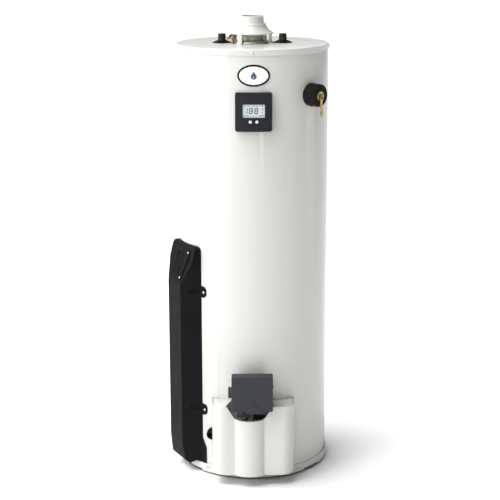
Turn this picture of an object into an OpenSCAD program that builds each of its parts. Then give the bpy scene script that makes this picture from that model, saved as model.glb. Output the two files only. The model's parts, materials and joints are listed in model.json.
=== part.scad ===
// Atmospheric tank water heater with a flue damper, a side combustion air duct and a digital control.
// The origin is on the tank's axis at floor level, -Y is the front and +Z is up.
// An azimuth is measured in degrees from the front, positive towards +X.

/* [Tank and jacket] */
// Outer radius of the painted jacket
jacket_r = 254; // [250:0.5:258]
// Height of the top cover above the floor
deck_z = 1455; // [1455:1:1500]
// Thickness of the painted sheet steel
sheet = 1.2; // [0.8:0.1:1.5]
// Outer radius of the pressure tank
tank_r = 215; // [212:0.5:218]
// Lower edge of the pressure tank
tank_z = 110; // [108:1:112]
// Outer radius of the flue tube
flue_r = 50.8; // [49:0.1:51]

/* [Water fittings] */
// Distance of each water nipple from the tank's axis
nipple_x = 101.6; // [98:0.1:104]
// Outer radius of a 3/4 in pipe nipple
nipple_r = 13.33; // [13.2:0.01:13.4]
// Height of the nipples above the top cover
nipple_h = 30; // [26:1:60]
// Azimuth of the relief valve
relief_az = 48; // [44:1:52]
// Height of the relief valve
relief_z = 1302; // [1290:1:1310]
// Radius of the foam boot round the relief valve
boot_r = 36; // [34:0.5:40]
// Azimuth of the drain valve
drain_az = -32.5; // [-33:0.5:-32]
// Height of the drain valve
drain_z = 150; // [148:1:154]

/* [Vent and damper] */
// Outer radius of the 3 in vent collar
vent_r = 38.1; // [37.5:0.1:39]
// Height of the vent collar's top above the top cover
vent_h = 89; // [86:1:100]
// Outer radius of the draft hood's bell
bell_r = 72; // [70:0.5:74]
// Outer radius of the damper drum
drum_r = 41; // [40.5:0.1:42]
// Height of the damper shaft above the top cover
damper_h = 15; // [14:0.5:16]

/* [Air duct] */
// Azimuth of the duct's middle
duct_az = -62; // [-64:0.5:-62]
// Distance of the duct's outer face from the tank's axis
duct_out = 300.6; // [296:0.1:304]
// Height at which the duct's front starts to lean back
duct_knee = 668; // [650:1:690]
// Lower end of the duct
duct_z0 = 28; // [26:1:30]
// Upper end of the duct
duct_z1 = 797; // [780:1:820]
// Wall thickness of the duct
duct_wall = 2.5; // [2:0.1:3]

/* [Gas control] */
// Left side of the control's cover
gas_x0 = -71; // [-73:0.5:-70]
// Right side of the control's cover
gas_x1 = 65.6; // [64:0.1:67]
// Bottom of the control's cover
gas_z0 = 266; // [265:1:268]
// Top of the control's cover
gas_z1 = 393; // [388:1:398]
// Distance of the cover's front from the tank's axis
gas_front = 345; // [343:1:350]
// Radius of the gas knob
knob_r = 19; // [17:0.5:21]

/* [Burner cover] */
// Top of the burner cover
cover_z1 = 280; // [278:1:282]
// Bottom of the burner cover
cover_z0 = 38; // [37:1:42]
// Lower edge of the cut-out in its front
cutout_z = 235; // [228:1:240]

/* [Display] */
// Width of the display housing
display_w = 119; // [116:1:122]
// Height of the display housing
display_h = 125; // [122:1:128]
// Height of the display's middle
display_z = 1257.5; // [1250:0.5:1265]
// Radius of the housing's curved face
display_r = 272; // [271:0.5:274]
// Radius of a button
button_r = 5; // [4.5:0.1:5.5]

/* [Hidden] */
$fn = 96;

// gaps
gap = 0.3;             // between curved pieces that only lie side by side
run = 0.05;            // radial clearance of a running fit

// base and combustion chamber
pan_r = 250;
pan_h = 20;
ring_r = jacket_r + 4;
ring_z0 = 7;
ring_z1 = 35;
lip_z = 16;            // top of the ring's inner lip, which the jacket stands on
tank_wall = 2.5;
tank_in = tank_r - tank_wall;
door_az = 24;
door_z0 = 24;
door_z1 = 106;
gasket_t = 2;
door_r = tank_r + gasket_t;
sleeve_z0 = 40;
sleeve_z1 = 60;
arrestor_z = 64;
burner_z = 74;
burner_r = 80;
gas_line_z = 84;
gas_line_x = -30;
gas_line_y = -286;
pilot_x = 8;
sight_az = 12;

// tank
shell_z1 = deck_z - 70;
head_top = deck_z - 48;
head_t = 3;
dome_r = 250.5;
dome_z = tank_z - 123.3;
spud_r = 21;
spud_in = nipple_r + gap;
spud_h = 20;
spud_out = tank_r + 17;
thermostat_z = 330;
anode_y = 110;

// vent
drum_wall = 1.2;
damper_z = deck_z + damper_h;
shaft_r = 3;
leg_az = [-125, -35, 55, 145];
rosette_r = 32.6;
rosette_h = 8;
wire_hole = [-64, -40];

// relief valve, measured outwards from the tank's axis
relief_out = 296;
relief_port = 272;
relief_pivot = 302;
port_r = 12.1;
stem_r = 2.5;
pin_r = 1.5;

// drain valve, measured outwards from the tank's axis
drain_journal = 14;
hose_r = 13.45;
drain_knob_d0 = 255.6;
drain_knob_d1 = 263.6;
drain_tip = 274.4;

// gas control
gas_back = 300;
gas_wall = 2.5;
gas_w = gas_x1 - gas_x0;
gas_xm = (gas_x0 + gas_x1) / 2;
knob_y = -322;
knob_z = 335;
inlet_r = 9.6;
valve_x0 = -52;
valve_x1 = 48;
valve_y0 = -333;
valve_y1 = -262;
valve_z0 = 284;
valve_z1 = 380;

// display
display_x = 3.6;
display_wall = 2.5;
lcd_x = 4;
lcd_z = 1261.5;
lcd_w = 72;
lcd_h = 43;
button_x = [-7, 14.3];
button_z = 1227;
board_y = -260;
board_t = 1.6;

// burner cover, as seen from above
corner = [95, -267];
corner_r = 42;
bulge = [-12, -266];
bulge_r = 65;
bulge_a = 49;

function arc(c, r, a0, a1, n) =
  [for (i = [0:n]) c + r * [cos(a0 + (a1 - a0) * i / n), sin(a0 + (a1 - a0) * i / n)]];

function mirrored(points) = [for (i = [len(points) - 1:-1:0]) [-points[i].x, points[i].y]];

// a ring about the tank's axis
module ring(r0, r1, z0, z1) {
  rotate_extrude()
    translate([r0, z0])
      square([r1 - r0, z1 - z0]);
}

// a stretch of such a ring between two azimuths
module sector(r0, r1, z0, z1, az0, az1) {
  rotate([0, 0, az0 - 90])
    rotate_extrude(angle = az1 - az0)
      translate([r0, z0])
        square([r1 - r0, z1 - z0]);
}

// a cylinder that points outwards, from distance d0 to d1
module radial(az, z, d0, d1, r, sides = 0) {
  rotate([0, 0, az])
    translate([0, -d0, z])
      rotate([90, 0, 0])
        cylinder(r = r, h = d1 - d0, $fn = sides > 0 ? sides : $fn);
}

// a cylinder along Y at x, z
module along_y(x, z, y0, y1, r) {
  translate([x, y0, z])
    rotate([-90, 0, 0])
      cylinder(r = r, h = y1 - y0);
}

// a cylinder along X at y, z
module along_x(y, z, x0, x1, r) {
  translate([x0, y, z])
    rotate([0, 90, 0])
      cylinder(r = r, h = x1 - x0);
}

module rod(a, b, r) {
  d = b - a;
  flat = norm([d.x, d.y]);
  translate(a)
    rotate([0, atan2(flat, d.z), atan2(d.y, d.x)])
      cylinder(r = r, h = norm(d), $fn = 24);
}

// a thin tube or wire through a list of points, with round elbows
module line_through(points, r) {
  for (i = [0:len(points) - 2]) rod(points[i], points[i + 1], r);
  for (i = [1:len(points) - 2]) translate(points[i]) sphere(r = r, $fn = 24);
}

// unit tangent of a route at its point i
function tangent(p, i) =
  let (d = p[min(i + 1, len(p) - 1)] - p[max(i - 1, 0)]) d / norm(d);

// a thin wire swept along a route; the slanted reference is never in line with the route
module sweep(points, r, sides = 8) {
  n = len(points);
  reference = [1, -1, 1];
  rings = [
    for (i = [0:n - 1])
      let (
        t = tangent(points, i),
        side = cross(t, reference),
        u = side / norm(side),
        v = cross(t, u)
      )
      for (k = [0:sides - 1])
        points[i] + r * (cos(k * 360 / sides) * u + sin(k * 360 / sides) * v)
  ];
  walls = [
    for (i = [0:n - 2], k = [0:sides - 1])
      let (a = i * sides, b = (i + 1) * sides, k2 = (k + 1) % sides)
      [a + k, b + k, b + k2, a + k2]
  ];
  ends = [
    [for (k = [0:sides - 1]) k],
    [for (k = [sides - 1:-1:0]) (n - 1) * sides + k]
  ];
  polyhedron(rings, concat(walls, ends));
}

module rounded(w, h, r) {
  square([w - 2 * r, h], center = true);
  square([w, h - 2 * r], center = true);
  for (x = [-1, 1], y = [-1, 1])
    translate([x * (w / 2 - r), y * (h / 2 - r)])
      circle(r = r);
}

// a block with a rounded outline in XZ, from y0 to y1
module plaque(x, z, y0, y1, w, h, r) {
  translate([x, y1, z])
    rotate([90, 0, 0])
      linear_extrude(y1 - y0)
        rounded(w, h, r);
}

// ---------- base and combustion chamber ----------

module base_pan() {
  color("DimGray")
    rotate_extrude()
      polygon([
        [226, 0], [pan_r, 0], [pan_r, pan_h], [0, pan_h],
        [0, pan_h - 1.5], [pan_r - 1.5, pan_h - 1.5], [pan_r - 1.5, 1.5], [226, 1.5]
      ]);
}

module base_ring() {
  wall_in = jacket_r + gap;
  color("Snow")
    difference() {
      rotate_extrude()
        polygon([
          [wall_in, ring_z0], [ring_r, ring_z0], [ring_r, ring_z1], [wall_in, ring_z1],
          [wall_in, lip_z], [pan_r + gap, lip_z], [pan_r + gap, lip_z - 2], [wall_in, lip_z - 2]
        ]);
      for (side = [-1, 1]) {
        // low arch, then a short slot above it
        sector(pan_r - 1, ring_r + 1, ring_z0 - 1, lip_z - 3, side * 52 - 9, side * 52 + 9);
        sector(jacket_r + 0.1, ring_r + 1, 21, 25, side * 37 - 1.8, side * 37 + 1.8);
        sector(jacket_r + 0.1, ring_r + 1, 21, 25, side * 128 - 1.8, side * 128 + 1.8);
      }
    }
}

module door_screw_holes(r) {
  for (side = [-1, 1], z = [door_z0 + 4, door_z1 - 4])
    radial(side * (door_az - 2), z, tank_r - 6, tank_r + 8, r);
}

module combustion_skirt() {
  color("SlateGray")
    difference() {
      ring(tank_in, tank_r, pan_h, tank_z);
      sector(tank_in - 5, tank_r + 5, door_z0 + 7, door_z1 - 7, -19, 19);
      rotate([0, 0, duct_az])
        translate([-54, -tank_r - 5, sleeve_z0 - gap])
          cube([108, 40, sleeve_z1 - sleeve_z0 + 2 * gap]);
      door_screw_holes(2.2);
    }
}

module flame_arrestor() {
  color("Silver")
    union() {
      difference() {
        translate([0, 0, arrestor_z]) cylinder(r = tank_in - 6, h = 3);
        for (row = [1:4], i = [0:6 * row - 1])
          rotate([0, 0, i * 60 / row])
            translate([row * 38, 0, arrestor_z - 1])
              cylinder(r = 5, h = 5, $fn = 24);
      }
      for (a = [30, 150, 270])
        rotate([0, 0, a])
          translate([190, 0, pan_h])
            cylinder(r = 5, h = arrestor_z - pan_h, $fn = 24);
    }
}

module burner() {
  color("Gainsboro")
    difference() {
      union() {
        translate([0, 0, burner_z]) cylinder(r = burner_r, h = 20);
        along_y(gas_line_x, gas_line_z, -118, -60, 9.5);
        for (a = [90, 210, 330])
          rotate([0, 0, a])
            translate([60, 0, arrestor_z + 3])
              cylinder(r = 4, h = burner_z - arrestor_z - 3, $fn = 24);
      }
      for (i = [0:23])
        rotate([0, 0, i * 15])
          translate([34, -1.5, burner_z + 14])
            cube([38, 3, 10]);
      along_y(gas_line_x, gas_line_z, -119, -70, 7);
    }
}

module manifold_tube() {
  color("DarkKhaki") {
    line_through([
      [gas_line_x, gas_line_y, 239], [gas_line_x, gas_line_y, gas_line_z],
      [gas_line_x, -106, gas_line_z]
    ], 6);
    translate([gas_line_x, gas_line_y, 222]) cylinder(r = 12, h = 16, $fn = 6);
  }
}

module pilot_tube() {
  color("Silver")
    line_through([
      [pilot_x, -272, valve_z0], [pilot_x, -272, gas_line_z + 6], [pilot_x, -100, gas_line_z + 6]
    ], 2.2);
}

module pilot_burner() {
  color("Gold") {
    difference() {
      translate([pilot_x - 8, -100, gas_line_z - 2]) cube([16, 14, 20]);
      along_y(pilot_x, gas_line_z + 6, -101, -92, 2.4);
    }
    translate([pilot_x + 4, -90, gas_line_z + 18]) cylinder(r = 1.2, h = 16, $fn = 24);
  }
}

module inner_door() {
  color("DarkGray")
    difference() {
      sector(door_r, door_r + 1.5, door_z0, door_z1, -door_az, door_az);
      along_y(gas_line_x, gas_line_z, -230, -200, 6.5);
      along_y(pilot_x, gas_line_z + 6, -230, -200, 2.7);
      radial(sight_az, 72, door_r - 6, door_r + 6, 10.1);
      door_screw_holes(2.2);
    }
}

module door_gasket() {
  color("Ivory")
    difference() {
      sector(tank_r, door_r, door_z0, door_z1, -door_az, door_az);
      sector(tank_r - 1, door_r + 1, door_z0 + 7, door_z1 - 7, -19, 19);
      door_screw_holes(2.2);
    }
}

module sight_glass() {
  color("LightCyan") {
    radial(sight_az, 72, door_r - 1, door_r + 1.6, 10);
    radial(sight_az, 72, door_r + 1.6, door_r + 3, 11.5);
  }
}

module door_screws() {
  color("Silver")
    for (side = [-1, 1], z = [door_z0 + 4, door_z1 - 4]) {
      radial(side * (door_az - 2), z, door_r + 1.5, door_r + 4.5, 4, 6);
      radial(side * (door_az - 2), z, tank_r - 5, door_r + 1.6, 2);
    }
}

// ---------- tank ----------

module side_spud_holes(r) {
  radial(relief_az, relief_z, tank_r - 15, tank_r + 5, r);
  radial(drain_az, drain_z, tank_r - 15, tank_r + 5, r);
  radial(0, thermostat_z, tank_r - 15, tank_r + 5, r);
}

module tank_shell() {
  color("SlateGray")
    difference() {
      ring(tank_in, tank_r, tank_z, shell_z1);
      side_spud_holes(spud_r + 0.1);
    }
}

module bottom_head() {
  r_in = tank_in - 0.1;
  hole = flue_r + gap;
  a_out = acos(hole / (dome_r + head_t));
  a_in = acos(hole / dome_r);
  a_edge = 40.7;
  color("SlateGray")
    rotate_extrude()
      polygon(concat(
        arc([0, dome_z], dome_r + head_t, a_out, a_edge, 12),
        [[r_in, tank_z + 21], [r_in, tank_z], [r_in - head_t, tank_z], [r_in - head_t, tank_z + 20]],
        arc([0, dome_z], dome_r, a_edge, a_in, 12)
      ));
}

module top_head() {
  r_in = tank_in - 0.1;
  hole = flue_r + gap;
  z = head_top - head_t;
  color("SlateGray")
    difference() {
      rotate_extrude()
        polygon([
          [hole, z], [150, z], [185, z - 6], [204, z - 18], [r_in - head_t, z - 29],
          [r_in - head_t, z - 42], [r_in, z - 42], [r_in, z - 27], [206, z - 14.5],
          [187, z - 3], [151, head_top], [hole, head_top]
        ]);
      for (x = [-nipple_x, nipple_x])
        translate([x, 0, z - 1])
          cylinder(r = spud_in, h = 6);
      translate([0, anode_y, z - 1]) cylinder(r = spud_in, h = 6);
    }
}

module flue_tube() {
  color("LightSlateGray") ring(flue_r - 2, flue_r, tank_z + 112, deck_z);
}

module flue_baffle() {
  steps = 16;
  z0 = 400;
  pitch = (deck_z - 35 - z0) / steps;
  side = [for (i = [0:steps]) [i % 2 == 0 ? -22 : 20, z0 + i * pitch]];
  color("Silver") {
    translate([0, 30, 0])
      rotate([90, 0, 0])
        linear_extrude(60)
          polygon(concat(side, [for (i = [steps:-1:0]) side[i] + [2, 0]]));
    translate([-46, -6, z0 + steps * pitch - 1]) cube([92, 12, 1.5]);
  }
}

module tank_spuds() {
  color("Gray") {
    for (p = [[-nipple_x, 0], [nipple_x, 0], [0, anode_y]])
      translate([p.x, p.y, head_top])
        difference() {
          cylinder(r = spud_r, h = spud_h);
          translate([0, 0, -1]) cylinder(r = spud_in, h = spud_h + 2);
        }
    for (s = [[relief_az, relief_z], [drain_az, drain_z], [0, thermostat_z]])
      difference() {
        radial(s[0], s[1], tank_in, spud_out, spud_r);
        radial(s[0], s[1], tank_in - 1, spud_out + 1, spud_in);
      }
  }
}

module water_nipple(x) {
  // the thread starts just above the rosette
  z0 = head_top - 12;
  z1 = deck_z + rosette_h + 0.5;
  z2 = deck_z + nipple_h;
  translate([x, 0, 0])
    difference() {
      union() {
        translate([0, 0, z0]) cylinder(r = nipple_r - 0.23, h = z1 - z0);
        translate([0, 0, z1]) cylinder(r = nipple_r, h = z2 - z1);
      }
      translate([0, 0, z0 - 1]) cylinder(r = 10.5, h = z2 - z0 + 2);
    }
}

module cold_nipple() {
  color("DimGray") water_nipple(-nipple_x);
}

module hot_nipple() {
  color("DimGray") water_nipple(nipple_x);
}

module dip_tube() {
  color("White")
    translate([-nipple_x, 0, 300])
      difference() {
        cylinder(r = 9.5, h = deck_z + 12 - 300);
        translate([0, 0, -1]) cylinder(r = 8, h = deck_z + 14 - 300);
      }
}

module anode_rod() {
  color("LightGray")
    translate([0, anode_y, 0]) {
      translate([0, 0, 340]) cylinder(r = 9.5, h = head_top - 335);
      translate([0, 0, head_top - 5]) cylinder(r = nipple_r, h = spud_h + 5);
      translate([0, 0, head_top + spud_h]) cylinder(r = 15, h = 12, $fn = 6);
    }
}

module foam_insulation() {
  foam_r = jacket_r - sheet - gap;
  z0 = tank_z + 2;
  z_head = head_top + 2;
  z_top = deck_z - sheet - 1;
  color("Khaki")
    difference() {
      translate([0, 0, z0]) cylinder(r = foam_r, h = z_top - z0);
      translate([0, 0, z0 - 1]) cylinder(r = tank_r + gap, h = z_head - z0 + 1);
      translate([0, 0, z_head - 1]) cylinder(r = flue_r + gap, h = 100);
      for (p = [[-nipple_x, 0], [nipple_x, 0], [0, anode_y]])
        translate([p.x, p.y, z_head - 1])
          cylinder(r = spud_r + gap, h = 100);
      for (s = [[relief_az, relief_z], [drain_az, drain_z], [0, thermostat_z]])
        radial(s[0], s[1], tank_r - 10, jacket_r + 10, 24);
      sector(tank_r - 10, jacket_r + 5, z0 - 1, 125, -28, 28);
      translate([30, -246, z0 - 1]) cylinder(r = 5.6, h = 1270 - z0);
      translate([wire_hole.x, wire_hole.y, deck_z - 15]) cylinder(r = 7, h = 20);
    }
}

// ---------- outer casing ----------

module jacket() {
  color("Snow")
    difference() {
      ring(jacket_r - sheet, jacket_r, lip_z, deck_z - sheet);
      sector(jacket_r - 5, jacket_r + 5, ring_z1 + 5, 125, -26, 26);
      for (s = [[relief_az, relief_z], [drain_az, drain_z], [0, thermostat_z]])
        radial(s[0], s[1], jacket_r - 20, jacket_r + 10, s[0] == 0 ? 20 : 22);
      sector(jacket_r - 5, jacket_r + 5, sleeve_z0, sleeve_z1, duct_az - 12, duct_az + 12);
      along_y(30, 1262, -262, -240, 5);
      along_y(30, 372, -262, -240, 5);
    }
}

module top_cover() {
  rim_r = jacket_r + 2;
  color("WhiteSmoke")
    difference() {
      rotate_extrude()
        polygon([
          [flue_r + gap, deck_z - sheet], [jacket_r + gap, deck_z - sheet],
          [jacket_r + gap, deck_z - 19], [rim_r, deck_z - 19],
          [rim_r, deck_z], [flue_r + gap, deck_z]
        ]);
      for (x = [-nipple_x, nipple_x])
        translate([x, 0, deck_z - 5])
          cylinder(r = nipple_r + gap, h = 10);
      translate([wire_hole.x, wire_hole.y, deck_z - 5]) cylinder(r = 5.5, h = 10);
      for (az = [-136, -61, 0, 88, 147])
        radial(az, deck_z - 10, jacket_r - 5, jacket_r + 5, 2.1);
    }
}

module top_cover_screws() {
  color("Silver")
    for (az = [-136, -61, 0, 88, 147]) {
      radial(az, deck_z - 10, jacket_r + 2, jacket_r + 4.6, 4);
      radial(az, deck_z - 10, jacket_r + gap, jacket_r + 2.1, 2);
    }
}

// ---------- combustion air duct ----------

module air_sleeve() {
  color("DimGray")
    rotate([0, 0, duct_az])
      difference() {
        translate([-52, -247.5, sleeve_z0]) cube([104, 38, sleeve_z1 - sleeve_z0]);
        translate([-50.5, -260, sleeve_z0 + 1.5]) cube([101, 60, sleeve_z1 - sleeve_z0 - 3]);
      }
}

// the duct's solid, made smaller all round by t
module duct_solid(t) {
  edge = arc([47.7, -duct_out + 9], 9 - t, -90, -29, 6);
  foot = [84.8 - t, -239.4];
  intersection() {
    translate([0, 0, duct_z0 - 5])
      linear_extrude(duct_z1 - duct_z0 + 10)
        polygon(concat(
          edge, [foot, [foot.x, -230], [-foot.x, -230], [-foot.x, foot.y]], mirrored(edge)
        ));
    translate([-100, 0, 0])
      rotate([90, 0, 90])
        linear_extrude(200)
          polygon([
            [-220, duct_z0 + t], [-284 + t, duct_z0 + t], [-291 + t, duct_z0 + 8 + t],
            [-duct_out + t, 107 + t / 2], [-duct_out + t, duct_knee], [-262 + t, 790 - t],
            [-257 + t, duct_z1 - t], [-220, duct_z1 - t]
          ]);
  }
}

duct_tilt = -atan2(duct_out - 262, 790 - duct_knee);

module on_duct_slope() {
  rotate([0, 0, duct_az])
    translate([0, -duct_out, duct_knee])
      rotate([duct_tilt, 0, 0])
        children();
}

module duct_cover() {
  color([0.16, 0.17, 0.18])
    difference() {
      union() {
        rotate([0, 0, duct_az])
          difference() {
            duct_solid(0);
            duct_solid(duct_wall);
            translate([-79, -238, duct_z0 + 5]) cube([158, 60, duct_z1 - duct_z0 - 10]);
          }
        for (side = [-1, 1], z = [230, 644])
          sector(
            jacket_r, jacket_r + 3, z - 19, z + 19,
            duct_az + side * 22.5 - 3.3, duct_az + side * 22.5 + 3.3
          );
      }
      translate([0, 0, duct_z0 - 5]) cylinder(r = jacket_r + gap, h = duct_z1);
      translate([0, 0, duct_z0 - 5]) cylinder(r = ring_r + 0.5, h = ring_z1 - duct_z0 + 5.5);
      translate([0, 0, ring_z1]) cylinder(r = jacket_r + 3, h = 91);
      on_duct_slope() translate([-30, -5, 22]) cube([60, 12, 90]);
      for (side = [-1, 1], z = [230, 644])
        radial(duct_az + side * 22.4, z, jacket_r - 5, jacket_r + 8, 2.6);
    }
}

module duct_panel() {
  color([0.12, 0.13, 0.14])
    on_duct_slope()
      difference() {
        translate([-36, -1.6, 14]) cube([72, 1.6, 106]);
        for (z = [28:8:104])
          translate([-24, -3, z]) cube([48, 5, 3.5]);
      }
}

module duct_screws() {
  color("Silver") {
    for (side = [-1, 1], z = [230, 644]) {
      radial(duct_az + side * 22.4, z, jacket_r + 3, jacket_r + 6, 4.6);
      radial(duct_az + side * 22.4, z, jacket_r + gap, jacket_r + 3.1, 2.4);
    }
    on_duct_slope()
      for (z = [20, 114])
        translate([28, -1.6, z])
          rotate([90, 0, 0])
            cylinder(r = 3.6, h = 2.2);
  }
}

module intake_plate() {
  color([0.1, 0.11, 0.12])
    difference() {
      sector(jacket_r + gap, jacket_r + 2.7, ring_z1 + 1, 125, duct_az - 23.5, duct_az + 23.5);
      sector(jacket_r, jacket_r + 5, sleeve_z0, sleeve_z1, duct_az - 12, duct_az + 12);
    }
}

// ---------- burner cover ----------

function cover_outline(t) =
  let (
    side = concat([[140 - t, -213.5]], arc(corner, corner_r - t, 0, -90, 10)),
    front = arc(bulge, bulge_r - t, -90 + (90 - bulge_a), -90 - (90 - bulge_a), 14)
  )
  concat(side, front, mirrored(side));

module cover_cutout() {
  translate([0, -200, 0])
    rotate([90, 0, 0])
      linear_extrude(150)
        polygon([[-88, cover_z1 + 1], [-61, cutout_z], [37, cutout_z], [66, cover_z1 + 1]]);
}

module burner_cover() {
  h = cover_z1 - cover_z0;
  color("Snow")
    difference() {
      translate([0, 0, cover_z0]) linear_extrude(h) polygon(cover_outline(0));
      translate([0, 0, cover_z0 - 1]) linear_extrude(h + 1 - sheet)
        polygon(concat(cover_outline(sheet), [[-138.8, -200], [138.8, -200]]));
      translate([0, 0, cover_z0 - 1]) cylinder(r = jacket_r + 0.6, h = h + 2);
      cover_cutout();
      // slots between the ledge and the wall, at both rounded corners
      for (side = [-1, 1])
        scale([side, 1, 1])
          translate([corner.x, corner.y, cover_z1 - 3])
            rotate([0, 0, -88])
              rotate_extrude(angle = 80)
                translate([corner_r - sheet - 3, 0])
                  square([2.6, 5]);
      // lower corners
      translate([-150, 0, 0])
        rotate([90, 0, 90])
          linear_extrude(300)
            polygon([[-295, cover_z0 - 2], [-290, cover_z0], [-210, 52], [-210, cover_z0 - 2]]);
      // notch round the drain valve
      translate([-142, -255, 122]) cube([12, 50, 56]);
    }
}

// ---------- gas control ----------

module gas_valve_body() {
  color("Silver")
    difference() {
      union() {
        translate([valve_x0, valve_y0, valve_z0])
          cube([valve_x1 - valve_x0, valve_y1 - valve_y0, valve_z1 - valve_z0]);
        // lower block with the outlet
        translate([-56, -299, 239]) cube([48, 27, valve_z0 - 239]);
        // gas inlet
        along_x(-282, 325, valve_x1, 62, 15);
        // posts that carry the cover
        for (x = [-40, 36])
          along_y(x, 332, -gas_front + gas_wall, valve_y0, 4);
      }
      along_x(-282, 325, 47, 63, inlet_r);
      along_x(knob_y, knob_z, valve_x0 - 1, -38, 4 + run);
      along_y(0, thermostat_z, -276, valve_y1 + 1, spud_in);
    }
}

module thermostat_shank() {
  color("Goldenrod") {
    along_y(0, thermostat_z, -276, -tank_r + 4, nipple_r);
    along_y(0, thermostat_z, -tank_r + 4, -120, 7);
  }
}

module gas_cover() {
  xm = gas_xm;
  zm = (gas_z0 + gas_z1) / 2;
  h = gas_z1 - gas_z0;
  chamfer = 20;
  color([0.24, 0.25, 0.27])
    difference() {
      union() {
        difference() {
          plaque(xm, zm, -gas_front, -gas_back, gas_w, h, 5);
          plaque(xm, zm, -gas_front + gas_wall, -gas_back + 1, gas_w - 5, h - 5, 3);
        }
        // inner wall behind the cut corner
        intersection() {
          plaque(xm, zm, -gas_front, -gas_back, gas_w, h, 5);
          translate([gas_x1 - chamfer, -gas_front, gas_z0])
            rotate([0, -45, 0])
              translate([-10, 0, 0]) cube([50, 45, 2.5]);
        }
        // moulded catch on the right side
        along_x(-312, 350, gas_x1 - 0.5, gas_x1 + 2, 4.5);
      }
      translate([gas_x1 - chamfer, -gas_front - 1, gas_z0])
        rotate([0, -45, 0])
          translate([-20, 0, -40]) cube([80, 60, 40]);
      along_x(knob_y, knob_z, gas_x0 - 1, gas_x0 + 5, 6);
    }
}

module gas_knob() {
  color([0.3, 0.31, 0.34]) {
    difference() {
      along_x(knob_y, knob_z, gas_x0 - 11.5, gas_x0 - 0.5, knob_r);
      for (i = [0:11])
        translate([0, knob_y, knob_z])
          rotate([i * 30, 0, 0])
            translate([0, 0, knob_r + 1.4])
              along_x(0, 0, gas_x0 - 12, gas_x0 - 3, 2.6);
    }
    along_x(knob_y, knob_z, gas_x0 - 1, -40, 4);
  }
}

module control_plug() {
  color([0.06, 0.06, 0.07])
    difference() {
      translate([0, -300, 226]) cube([38, 22, valve_z0 - 226]);
      for (x = [6:7:32])
        translate([x, -302, 224]) cube([4, 20, 12]);
    }
}

// ---------- display ----------

module display_solid(r0, r1, w, h, radius) {
  intersection() {
    plaque(display_x, display_z, -300, -240, w, h, radius);
    ring(r0, r1, display_z - 80, display_z + 80);
  }
}

module display_housing() {
  color([0.23, 0.235, 0.25])
    difference() {
      display_solid(jacket_r + gap, display_r, display_w, display_h, 8);
      display_solid(
        jacket_r - 5, display_r - display_wall,
        display_w - 2 * display_wall, display_h - 2 * display_wall, 6
      );
      plaque(lcd_x, lcd_z, -300, -262, lcd_w, lcd_h, 1.5);
      for (x = button_x)
        along_y(x, button_z, -300, -262, button_r + run);
    }
}

module display_backplate() {
  color("DarkSlateGray")
    difference() {
      union() {
        display_solid(jacket_r + gap, jacket_r + 1.8, display_w - 6, display_h - 6, 5);
        for (x = [-38, 44], z = [-48, 44])
          intersection() {
            along_y(x, display_z + z, board_y, -240, 3);
            ring(jacket_r + gap, 290, 1150, 1400);
          }
      }
      along_y(30, 1262, -262, -240, 5);
    }
}

module circuit_board() {
  color("DarkGreen") {
    translate([-44, board_y - board_t, display_z - 54]) cube([94, board_t, 104]);
    for (x = button_x)
      translate([x - 3, board_y - board_t - 1.8, button_z - 3]) cube([6, 1.8, 6]);
  }
}

module lcd_panel() {
  color("LightSlateGray")
    translate([lcd_x - lcd_w / 2 - 1, board_y - board_t - 3.2, lcd_z - lcd_h / 2 - 3])
      cube([lcd_w + 2, 3.2, lcd_h + 6]);
}

module lcd_window() {
  color("LightBlue")
    intersection() {
      plaque(lcd_x, lcd_z, -300, -240, lcd_w - 0.2, lcd_h - 0.2, 1.4);
      ring(display_r - 2.3, display_r - 0.6, display_z - 80, display_z + 80);
    }
}

module push_button(x) {
  color("WhiteSmoke") {
    along_y(x, button_z, -display_r - 1.8, -266.9, button_r);
    along_y(x, button_z, -268.2, -266.9, button_r + 1.2);
    along_y(x, button_z, -267, -264.9, 2);
  }
}

module button_left() {
  push_button(button_x[0]);
}

module button_right() {
  push_button(button_x[1]);
}

module control_harness() {
  color("Black")
    line_through([
      [30, -259, 1262], [30, -246, 1262], [30, -246, 372], [30, valve_y1, 372]
    ], 3);
}

module badge() {
  color("DarkGreen")
    intersection() {
      translate([4, -240, 1373])
        rotate([90, 0, 0])
          linear_extrude(30)
            polygon([for (a = [0:7.5:352.5]) [52.5 * cos(a), 35 * sin(a)]]);
      ring(jacket_r + 0.05, jacket_r + 2, 1300, 1440);
    }
}

// ---------- relief valve ----------

module relief_valve_body() {
  az = relief_az;
  z = relief_z;
  color("Goldenrod")
    difference() {
      union() {
        radial(az, z, tank_r - 3, 246, nipple_r);
        radial(az, z, 130, tank_r - 3, 5);
        radial(az, z, 245, 254, 17, 6);
        radial(az, z, 252, 288, 17);
        radial(az, z, 288, relief_out, 15.5);
        rotate([0, 0, az])
          translate([0, -relief_port, z - boot_r - 2])
            cylinder(r = 15.5, h = boot_r);
      }
      rotate([0, 0, az])
        translate([0, -relief_port, z - boot_r - 3])
          cylinder(r = port_r, h = 19);
      rotate([0, 0, az])
        translate([0, -relief_port, z - boot_r])
          cylinder(r = 8.5, h = boot_r);
      radial(az, z, 283, relief_out + 1, stem_r + run);
    }
}

module relief_boot() {
  color([0.08, 0.07, 0.08])
    difference() {
      radial(relief_az, relief_z, 240, 294, boot_r);
      cylinder(r = jacket_r + gap, h = deck_z);
      radial(relief_az, relief_z, 230, 300, 17 + gap);
      rotate([0, 0, relief_az])
        translate([0, -relief_port, relief_z - boot_r - 5])
          cylinder(r = 15.5 + gap, h = boot_r);
    }
}

module relief_stem() {
  color("Silver") {
    radial(relief_az, relief_z, 284, 306, stem_r);
    radial(relief_az, relief_z, 305.9, 307.5, 2.9);
    rotate([0, 0, relief_az])
      along_x(-relief_pivot, relief_z, -6, 6, pin_r);
  }
}

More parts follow.
